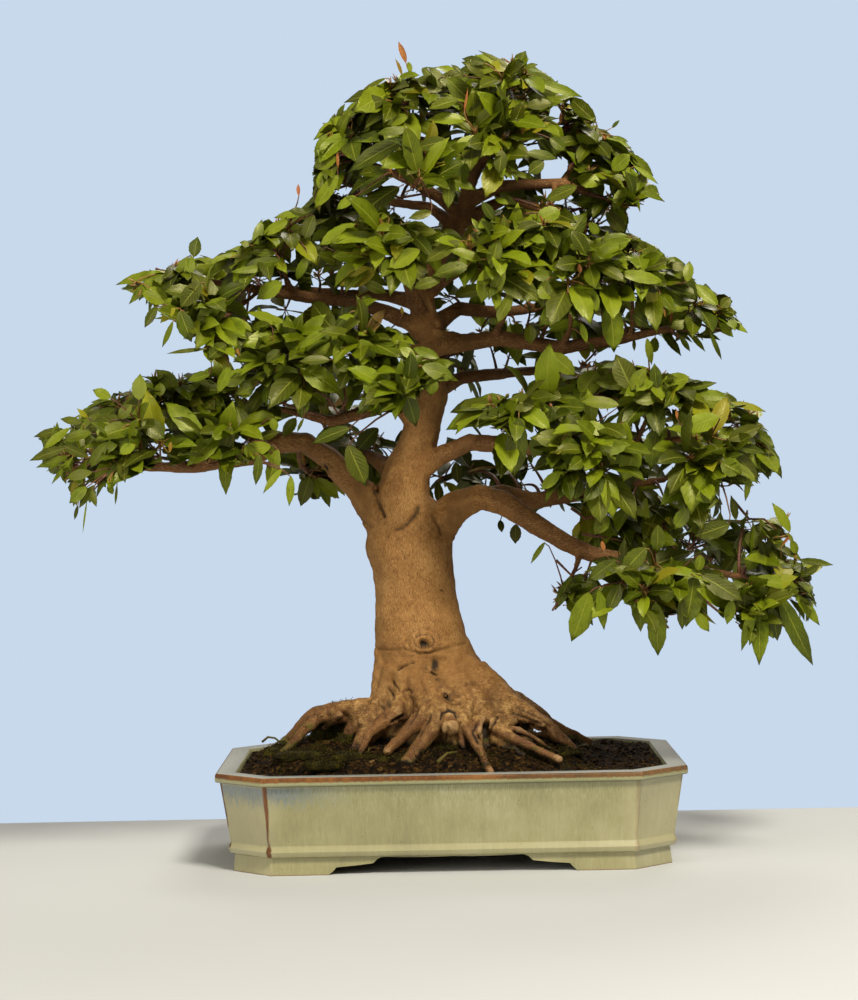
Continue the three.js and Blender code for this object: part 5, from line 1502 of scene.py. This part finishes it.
class Skin:
    """A mesh whose points are moved as an array."""

    def __init__(self, mesh):
        self.mesh = mesh
        points = np.empty(len(mesh.vertices) * 3, np.float32)
        mesh.vertices.foreach_get("co", points)
        self.points = to_millimetres(points.reshape(-1, 3))
        ends = np.empty(len(mesh.edges) * 2, np.int32)
        mesh.edges.foreach_get("vertices", ends)
        self.first, self.second = ends.reshape(-1, 2).T
        count = len(self.points)
        self.links = np.bincount(self.first, minlength=count) + np.bincount(self.second, minlength=count)

    def spread(self, values):
        """The mean of each point's neighbours' values."""
        count = len(self.points)
        total = np.bincount(self.first, values[self.second], count)
        total += np.bincount(self.second, values[self.first], count)
        return total / self.links

    def relax(self, share, times):
        """Moves every point toward its neighbours' mean by a share, given for all or each."""
        share = np.broadcast_to(share, len(self.points))[:, None]
        for _ in range(times):
            mean = np.stack([self.spread(self.points[:, k]) for k in range(3)], axis=1)
            self.points = self.points + share * (mean - self.points)

    def store(self):
        """Writes the points to the mesh."""
        self.mesh.vertices.foreach_set("co", to_frame(self.points).astype(np.float32).ravel())
        self.mesh.update()

    def normals(self):
        """Each point's direction out of the surface."""
        self.store()
        values = np.empty(len(self.points) * 3, np.float32)
        self.mesh.vertex_normals.foreach_get("vector", values)
        return values.reshape(-1, 3).astype(float)

    def tree(self):
        """A search tree of the surface."""
        faces = [tuple(face.vertices) for face in self.mesh.polygons]
        return BVHTree.FromPolygons(self.points.tolist(), faces)

    def thickness(self, most):
        """How thick the body is behind each point, up to a most."""
        tree = self.tree()
        result = np.full(len(self.points), float(most))
        for k, (point, normal) in enumerate(zip(self.points, self.normals())):
            hit = tree.ray_cast(point - 0.3 * normal, -normal, most)
            if hit[3] is not None:
                result[k] = hit[3] + 0.3
        return result

    def mark(self, name, values):
        """Gives the mesh three numbers a point that its paint reads."""
        layer = self.mesh.attributes.new(name, "FLOAT_VECTOR", "POINT")
        layer.data.foreach_set("vector", values.astype(np.float32).ravel())


def apart_from_line(points, line):
    """Each point's distance to a line of straight pieces, as seen from the front."""
    nearest = np.full(len(points), 1e9)
    points = points[:, [0, 2]]
    line = np.array(line, float)[:, [0, 2]]
    for start, end in zip(line[:-1], line[1:]):
        along = end - start
        share = np.clip((points - start) @ along / max(along @ along, 1e-9), 0, 1)
        nearest = np.minimum(nearest, np.linalg.norm(points - start - share[:, None] * along, axis=1))
    return nearest


def press_creases(skin, normals, sight):
    """Presses the folds and slits into the bark and returns the darkness of the painted shade in them."""
    dark = np.zeros(len(skin.points))
    shift = np.zeros(len(skin.points))
    for width, depth, shade, line in crease_lines(sight):
        room = np.array([4 * width, 24, 4 * width])
        low = np.min(line, axis=0) - room
        high = np.max(line, axis=0) + room
        inside = ((skin.points > low) & (skin.points < high)).all(axis=1)
        rows = np.nonzero(inside & (normals[:, 1] < 0.1))[0]
        near = skin.points[rows]
        apart = apart_from_line(near, line) + 0.35 * width * layered_noise(near, 5, 91, 2)
        groove = np.exp(-((apart / width) ** 2))
        lip = np.exp(-(((apart - 2 * width) / width) ** 2))
        shift[rows] += depth * (0.3 * lip - groove)
        # Painted shade in each groove
        dark[rows] = np.maximum(dark[rows], shade * smooth_step(groove, 0.2, 1.0))
    skin.points = skin.points + normals * shift[:, None]
    return dark


# The trunk's middle line from the side of the camera, and its radius for the grain round it
AXIS_HEIGHTS = (100, 200, 330, 440, 590, 680, 750)
AXIS_PLACES = (-20, -25, -42, -24, -21, 26, 48)
TRUNK_RADIUS = 42
THICKEST = 120


def bark_grain(points):
    """Places in the bark's grain, round and up the trunk or along a limb, and how upright each is."""
    height = points[:, 2]
    axis_x = np.interp(height, AXIS_HEIGHTS, AXIS_PLACES)
    away = points[:, :2] - np.stack([axis_x, np.zeros(len(points))], axis=1)
    reach = np.linalg.norm(away, axis=1)
    around = away / np.maximum(reach, 1)[:, None]
    upright = smooth_step(reach, 66, 44) * smooth_step(height, 130, 180)
    trunk_grain = np.column_stack([around * TRUNK_RADIUS, height])
    limb_grain = np.column_stack([away[:, 0] * around[:, 1], height, reach])
    return upright[:, None] * trunk_grain + (1 - upright)[:, None] * limb_grain, upright


def bark_swell(points, grain, upright, heavy, flare):
    """How far swellings, knuckles, flutes and fine cracks lift the bark, less on thin wood."""
    swell = 0.9 + 1.1 * heavy + layered_noise(points, 34, 3, 3) * (0.5 + 1.8 * heavy)
    swell = swell + layered_noise(points, 10, 9, 2) * (0.35 + 0.2 * heavy + 0.5 * flare)
    swell = swell + soft_noise(grain * [0.05, 0.05, 0.02], 1.0, 5) * heavy * upright * 1.3
    cracks = layered_noise(grain * [1, 1, 0.3], 4, 41, 2)
    return swell + 0.4 * cracks * (0.3 + 0.7 * flare)


def bark_depths(skin, thick):
    """How deep the surface lies under its near and its wider surroundings, and its normals."""
    smooth = Skin(skin.mesh)
    smooth.points = skin.points.copy()
    smooth.relax(0.5, 14)
    normals = skin.normals()
    depth = np.einsum("ij,ij->i", smooth.points - skin.points, normals)
    smooth.relax(0.9, 50)
    wide_depth = np.einsum("ij,ij->i", smooth.points - skin.points, normals) * (thick > 12)
    return depth, wide_depth, normals


def bark_marks(points, thick, flare, dark, depth, wide_depth, above):
    """Marks for the paint: thickness; painted shade in recesses, folds and slits, and darkening close to
    the soil, or a painted highlight on ridges; and damp.
    """
    # Painted shade where the surface lies below its near and wider surroundings, and in the folds and slits
    painted_shading = np.maximum(smooth_step(depth, 0.3, 2.4) * (0.4 + 0.5 * flare), dark)
    painted_shading = np.maximum(painted_shading, smooth_step(wide_depth, 0.5, 5) * (0.7 + 0.25 * flare))
    # Darker close to the soil, carried in the same mark as the painted shade
    darker_near_soil = smooth_step(above + 4 * layered_noise(points, 9, 61, 2), 9, 1)
    painted_shading = np.maximum(painted_shading, 0.8 * darker_near_soil)
    # Painted highlight on the ridges of the flare, kept as a negative value of the same mark
    painted_crest_highlight = smooth_step(-depth, 0.4, 2.8) * flare * 0.8
    painted_shading = np.where(painted_shading < 0.05, -painted_crest_highlight, painted_shading)
    damp = smooth_step(above, 30, 4) * 0.17
    damp = damp + smooth_step(points[:, 0], -100, -128) * (above < 48) * 0.12
    return np.stack([thick, painted_shading, damp], axis=1)


def make_wood(material, sight):
    """The trunk, roots and limbs as one grown body with bark, and where moss may grow on it."""
    mesh = joined_wood(sight)
    skin = Skin(mesh)
    skin.relax(0.5, 2)
    thick = skin.thickness(THICKEST)
    for _ in range(8):
        thick = skin.spread(thick)
    heavy = smooth_step(thick, 9, 30)
    skin.relax(0.1 + 0.35 * heavy, 8)
    flare = smooth_step(skin.points[:, 2], 235, 180)
    grain, upright = bark_grain(skin.points)
    swell = bark_swell(skin.points, grain, upright, heavy, flare)
    skin.points = skin.points + skin.normals() * swell[:, None]
    dark = press_creases(skin, skin.normals(), sight)
    skin.relax(0.2, 1)
    depth, wide_depth, normals = bark_depths(skin, thick)
    points = skin.points
    above = points[:, 2] - soil_height(points[:, 0], points[:, 1])
    marks = bark_marks(points, thick, flare, dark, depth, wide_depth, above)
    skin.store()
    belong(lighter_wood(mesh, marks, grain, material), "bark", "trunk")
    return points, normals, above


def lighter_wood(mesh, marks, grain, material):
    """The wood with fewer triangles where it is plain, and its marks carried over."""
    holder = placed("holder", mesh)
    fewer = holder.modifiers.new("fewer", "DECIMATE")
    fewer.ratio = min(1, WOOD_TRIANGLES / (2 * len(mesh.polygons)))
    light = applied(holder, "wood")
    finder = KDTree(len(mesh.vertices))
    for vertex in mesh.vertices:
        finder.insert(vertex.co, vertex.index)
    finder.balance()
    rows = np.array([finder.find(vertex.co)[1] for vertex in light.vertices])
    bpy.data.objects.remove(holder)
    skin = Skin(light)
    skin.mark("wood_marks", marks[rows])
    skin.mark("grain", grain[rows])
    light.polygons.foreach_set("use_smooth", [True] * len(light.polygons))
    light.materials.clear()
    light.materials.append(material)
    return placed("wood", light)


def make_rootlets(material, sight):
    """Thin roots that lie over the soil."""
    piece = Piece("rootlets")
    for first, last, start, end, line in ROOTLETS:
        line = sight.line(line, 0, start, end)
        line[:, 2] = np.maximum(line[:, 2], soil_height(line[:, 0], line[:, 1]) + first * 0.4)
        radii = np.linspace(first, last, len(line))
        points, faces, _ = tube(line, radii, ROOTLET_SIDES)
        marks = np.tile([20.0, 0.0, 0.3], (len(points), 1))
        piece.add(points, faces, wood_marks=marks, grain=points)
    return belong(piece.make([material]), "bark")


# Pot
EDGE_SOFTNESS = 1.6
FLATTEST_EDGE = math.radians(14)


def make_pot(material):
    """The pot's solid with its edges softened as glaze softens them."""
    work = bmesh.new()
    work.from_mesh(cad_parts["pot"].data)
    bmesh.ops.remove_doubles(work, verts=work.verts, dist=1e-6)
    bmesh.ops.dissolve_limit(work, angle_limit=math.radians(1), verts=work.verts, edges=work.edges)
    mesh = bpy.data.meshes.new("glazed_pot")
    work.to_mesh(mesh)
    work.free()
    mesh.materials.clear()
    mesh.materials.append(material)
    piece = placed("glazed_pot", mesh)
    soften = piece.modifiers.new("soften", "BEVEL")
    soften.width = EDGE_SOFTNESS * MM
    soften.segments = 3
    soften.angle_limit = FLATTEST_EDGE
    soften.use_clamp_overlap = True
    soften.harden_normals = True
    mesh.polygons.foreach_set("use_smooth", [True] * len(mesh.polygons))
    return belong(piece, "glaze", "pot")


# Soil
SOIL_EDGE_Z = 96
MOUND_RISE = 25
MOUND_CENTRE = (-25, 0)
MOUND_REACH = (195, 150)
SOIL_INSET = 22.8
SOIL_WALL_Z = 90
SOIL_FOOT_Z = 40
SOIL_RINGS = 62
POINTS_PER_SIDE = (84, 18)
CRUMBS = 1800
# How far crumbs and moss stay from the pot's wall, and how far they reach into its corners
CRUMB_MARGIN = 3
CRUMB_CORNER = 12
MOSS_MARGIN = 4
MOSS_CORNER = 8


def soil_height(x, y):
    """The soil's surface: a flat-topped mound with low lumps."""
    away = np.hypot((x - MOUND_CENTRE[0]) / MOUND_REACH[0], (y - MOUND_CENTRE[1]) / MOUND_REACH[1])
    mound = MOUND_RISE * np.maximum(0, 1 - away**5)
    lumps = 1.6 * np.sin(x / 13 + 1) * np.cos(y / 11) + 1.1 * np.sin((x + y) / 7)
    return SOIL_EDGE_Z + mound + lumps


def soil_outline(inset, z):
    """The pot's eight-sided inner outline, with points along its long and its short sides."""
    wide = POT_WIDTH / 2 - inset
    deep = POT_DEPTH / 2 - inset
    cut = CORNER_CUT - inset * (2 - math.sqrt(2))
    corners = np.array([
        (wide, cut - deep), (wide, deep - cut), (wide - cut, deep), (cut - wide, deep),
        (-wide, deep - cut), (-wide, cut - deep), (cut - wide, -deep), (wide - cut, -deep),
    ])
    sides = []
    for k, corner in enumerate(corners):
        after = corners[(k + 1) % 8]
        count = POINTS_PER_SIDE[k % 2]
        share = np.arange(count) / count
        sides.append(corner + np.outer(share, after - corner))
    flat = np.concatenate(sides)
    return np.column_stack([flat, np.full(len(flat), z)])


def soil_reach(margin):
    """Half the soil's width and half its depth, less a margin."""
    return POT_WIDTH / 2 - SOIL_INSET - margin, POT_DEPTH / 2 - SOIL_INSET - margin


def make_soil(material):
    """Soil in rings from the pot's wall inward, raised in crumbs, with loose crumbs on it."""
    piece = Piece("potting_soil")
    edge = soil_outline(SOIL_INSET, SOIL_WALL_Z)
    rings = [soil_outline(SOIL_INSET + 6, SOIL_FOOT_Z), edge]
    for ring in range(SOIL_RINGS):
        share = 1 - (ring + 0.2) / (SOIL_RINGS + 0.2)
        flat = edge[:, :2] * share
        points = np.column_stack([flat, soil_height(flat[:, 0], flat[:, 1])])
        points[:, 2] += 1.3 * layered_noise(points, 6, 51, 2) + 0.9 * soft_noise(points, 2.7, 57)
        rings.append(points)
    points = np.concatenate([*rings, [[0, 0, SOIL_FOOT_Z]], [[0, 0, float(soil_height(0, 0))]]])
    piece.add(points, ring_faces(len(rings), len(edge)))
    add_crumbs(piece)
    return belong(piece.make([material]), "soil", "soil")


def add_crumbs(piece):
    """Loose crumbs that lie half sunk over the surface."""
    rng = np.random.default_rng(7)
    shape, faces = ball_shape(1)
    wide, deep = soil_reach(CRUMB_MARGIN)
    for _ in range(CRUMBS):
        x = rng.uniform(-wide, wide)
        y = rng.uniform(-deep, deep)
        if abs(x) + abs(y) > wide + deep - CORNER_CUT + CRUMB_CORNER:
            continue
        size = rng.uniform(0.9, 2.6)
        lumpy = shape * (size * rng.uniform(0.7, 1.2, (len(shape), 1))) * rng.uniform(0.7, 1.2, 3)
        piece.add(lumpy + [x, y, float(soil_height(x, y)) + 0.2 * size], faces)


# Patches of moss: middle, reach across and along, how thick it grows
MOSS_PATCHES = (
    (-150, -80, 46, 30, 1.0), (-95, -105, 48, 20, 0.9), (-40, -112, 34, 16, 1.0), (30, -118, 46, 16, 0.6),
    (110, -96, 48, 20, 0.7), (-176, -30, 26, 34, 0.8), (-120, -40, 40, 30, 1.0), (86, -76, 40, 16, 0.8),
    (150, 10, 26, 50, 0.4), (-130, 70, 44, 34, 0.7), (20, 110, 70, 20, 0.5), (-60, 112, 40, 18, 0.6),
    (120, 90, 40, 24, 0.4),
)

# Cushions of moss: middle and reach along each axis. The first fills the arch of the left root.
MOSS_CUSHIONS = (
    (-122, -2, 120, 26, 16, 28), (-104, -34, 116, 15, 11, 15), (-150, -72, 111, 30, 20, 6),
    (-100, -98, 111, 24, 13, 6), (-62, -112, 109, 18, 11, 6), (-178, -14, 108, 20, 28, 9),
    (34, -108, 108, 16, 9, 6), (-4, -92, 116, 12, 8, 6), (88, -84, 109, 22, 12, 6),
    (-135, 62, 112, 30, 22, 7), (-128, -118, 105, 20, 10, 6), (118, -60, 108, 16, 16, 6),
)
TUFTS_PER_CUSHION = 560
SOIL_TUFTS = 8000
ROOT_TUFTS = 2500


def add_cushions(piece, rng):
    """Adds the cushions' lumpy bodies, and returns places on them and which way they face."""
    shape, faces = ball_shape(4)
    places = []
    facings = []
    for number, row in enumerate(MOSS_CUSHIONS):
        middle, reach = np.array(row[:3], float), np.array(row[3:], float)
        lumps = 1 + 0.26 * layered_noise(shape * reach, 9, 200 + number, 3)
        points = middle + shape * reach * lumps[:, None]
        low = np.clip(0.3 + 0.25 * layered_noise(points, 8, 300 + number, 2), 0, 1)
        piece.add(points, faces, leaf_tint=np.column_stack([low, 0 * low, 0 * low]))
        rows = rng.choice(np.nonzero(shape[:, 2] > -0.1)[0], TUFTS_PER_CUSHION)
        places.append(points[rows] + rng.normal(0, 1.0, (TUFTS_PER_CUSHION, 3)))
        facings.append(unit(shape[rows] / reach + rng.normal(0, 0.03, (TUFTS_PER_CUSHION, 3))))
    return np.concatenate(places), np.concatenate(facings)


def soil_moss(count, rng):
    """Places of moss leaves in the soil's patches, and which way they stand."""
    patches = np.array(MOSS_PATCHES)
    chance = patches[:, 2] * patches[:, 3] * patches[:, 4]
    chosen = patches[rng.choice(len(patches), count, p=chance / chance.sum())]
    turn = rng.uniform(0, 2 * math.pi, count)
    reach = np.sqrt(rng.uniform(0, 1, count)) * rng.uniform(0.6, 1.0, count)
    x = chosen[:, 0] + chosen[:, 2] * reach * np.cos(turn)
    y = chosen[:, 1] + chosen[:, 3] * reach * np.sin(turn)
    clump = soft_noise(np.column_stack([x, y, np.zeros(count)]), 9, 77)
    wide, deep = soil_reach(MOSS_MARGIN)
    in_corner = abs(x) + abs(y) < wide + deep - CORNER_CUT + MOSS_CORNER
    keep = (clump > -0.25) & (abs(x) < wide) & (abs(y) < deep) & in_corner
    x, y, clump = x[keep], y[keep], clump[keep]
    count = len(x)
    base = np.column_stack([x, y, soil_height(x, y) - 0.6 + 2.2 * np.maximum(clump, 0)])
    return base, unit(np.column_stack([rng.normal(0, 0.5, (count, 2)), np.full(count, 1.0)]))


def root_moss(count, points, normals, above, rng):
    """Places of moss leaves low on the roots and under the arched left root."""
    clump = layered_noise(points, 12, 83, 2)
    left = smooth_step(points[:, 0], -88, -120) * (above < 46) * smooth_step(points[:, 1], 60, 20)
    low = smooth_step(above, 16, 4) * (points[:, 2] < 160)
    chance = np.maximum(left, 0.7 * low) * smooth_step(clump, -0.1, 0.3) * (above > -2)
    rows = rng.choice(len(points), count, p=chance / chance.sum())
    lean = unit(normals[rows] + [0, 0, 0.5] + rng.normal(0, 0.35, (count, 3)))
    return points[rows] + rng.normal(0, 0.6, (count, 3)), lean


def make_moss(material, points, normals, above):
    """Moss as thousands of short pointed leaves on the soil and on the roots."""
    rng = np.random.default_rng(23)
    piece = Piece("moss")
    on_soil = soil_moss(SOIL_TUFTS, rng)
    on_roots = root_moss(ROOT_TUFTS, points, normals, above, rng)
    on_cushions = add_cushions(piece, rng)
    base, lean = (np.concatenate(group) for group in zip(on_soil, on_roots, on_cushions))
    count = len(base)
    tall = rng.uniform(1.2, 3.2, count)
    around = rng.uniform(0, 2 * math.pi, count)
    corners = []
    for k in range(3):
        angle = around + k * 2 * math.pi / 3
        corners.append(base + 0.5 * np.column_stack([np.cos(angle), np.sin(angle), np.zeros(count)]))
    tips = base + lean * tall[:, None]
    points = np.stack([*corners, tips], axis=1).reshape(-1, 3)
    start = np.arange(count)[:, None] * 4
    shape = np.array([(0, 1, 3), (1, 2, 3), (2, 0, 3), (2, 1, 0)])
    faces = (start[:, :, None] + shape[None]).reshape(-1, 3)
    bright = rng.uniform(0.45, 1.0, count)
    dry = np.where(rng.random(count) < 0.08, 0.8, 0.0)
    rows = np.column_stack([np.zeros(count), dry, dry])
    ends = np.column_stack([bright, dry, dry])
    tints = np.stack([rows, rows, rows, ends], axis=1).reshape(-1, 3)
    piece.add(points, faces.tolist(), leaf_tint=tints)
    return belong(piece.make([material]), "moss")


# Stage
def make_floor():
    """A plain pale table top whose far edge is a little behind the pot."""
    near, far, side, thickness = -3000, 276, 3200, 60
    corners = [(-side, near, 0), (side, near, 0), (side, far, 0), (-side, far, 0)]
    under = [(x, y, -thickness) for x, y, _ in corners]
    piece = Piece("floor")
    faces = [(0, 1, 2, 3), (7, 6, 5, 4), (0, 4, 5, 1), (1, 5, 6, 2), (2, 6, 7, 3), (3, 7, 4, 0)]
    piece.add(np.array(corners + under, float), faces)
    floor = piece.make([floor_paint()], smooth=False)


# Each light: name, place, size in metres, power and colour. All point at the middle of the tree.
LIGHTS = (
    ("key", (800, -1900, 2500), 0.8, 101, (1.0, 0.93, 0.8)),
    ("fill", (-2100, -1900, 900), 1.6, 30, (1.0, 0.95, 0.88)),
    ("back", (600, 2100, 2300), 1.6, 34, (1.0, 0.95, 0.88)),
)
LIT_PLACE = (0, 0, 350)


def add_light(name, place, size, power, colour):
    """A round soft light that points at the tree."""
    data = bpy.data.lights.new(name, "AREA")
    data.shape = "DISK"
    data.size = size
    data.energy = power
    data.color = colour
    here = to_frame(place)
    back = unit(here - to_frame(LIT_PLACE))
    side = unit(np.cross(UP, back))
    over = np.cross(back, side)
    rows = [[side[k], over[k], back[k], here[k]] for k in range(3)]
    placed(name, data).matrix_world = Matrix([*rows, [0, 0, 0, 1]])


def make_light():
    """The studio: three lights, a plain backdrop colour and a dim warm light from all round."""
    for light in LIGHTS:
        add_light(*light)
    world = bpy.data.worlds.new("studio")
    world.use_nodes = True
    tree = world.node_tree
    tree.nodes.clear()
    shown = tree.nodes.new("ShaderNodeBackground")
    shown.inputs["Color"].default_value = tone("C8D9EC")
    lighting = tree.nodes.new("ShaderNodeBackground")
    lighting.inputs["Color"].default_value = tone("F0E8DA")
    lighting.inputs["Strength"].default_value = 0.3
    path = tree.nodes.new("ShaderNodeLightPath")
    both = tree.nodes.new("ShaderNodeMixShader")
    surface = tree.nodes.new("ShaderNodeOutputWorld")
    tree.links.new(path.outputs["Is Camera Ray"], both.inputs[0])
    tree.links.new(lighting.outputs[0], both.inputs[1])
    tree.links.new(shown.outputs[0], both.inputs[2])
    tree.links.new(both.outputs[0], surface.inputs[0])
    bpy.context.scene.world = world
    bpy.context.scene.view_settings.view_transform = "Standard"


def make_foliage(tree):
    """Every spray, the tufts inside the pads and the leaves read off the picture."""
    ends = []
    finishes = [leaf_paint(), twig_paint()]
    names = sorted(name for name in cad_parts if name.startswith("spray_"))
    for number, name in enumerate(names):
        spray = grow_spray(name, number, tree)
        belong(spray.piece.make(finishes), "leaf", name)
        ends.extend(spray.ends)
    inner = grow_inner_tufts(tree)
    belong(inner.piece.make(finishes), "leaf")
    traced = grow_traced_leaves(np.array(ends + inner.ends), tree)
    belong(traced.piece.make(finishes), "leaf")


def main():
    make_camera()
    make_light()
    make_floor()
    make_pot(glaze_paint())
    make_soil(soil_paint())
    netting = drain_mesh_paint()
    for name in ("drain_mesh_left", "drain_mesh_right"):
        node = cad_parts[name]
        node.data.materials.clear()
        node.data.materials.append(netting)
    bark = bark_paint()
    sight = Sight()
    points, normals, above = make_wood(bark, sight)
    make_moss(moss_paint(), points, normals, above)
    make_rootlets(bark, sight)
    make_foliage(sight.tree)


main()
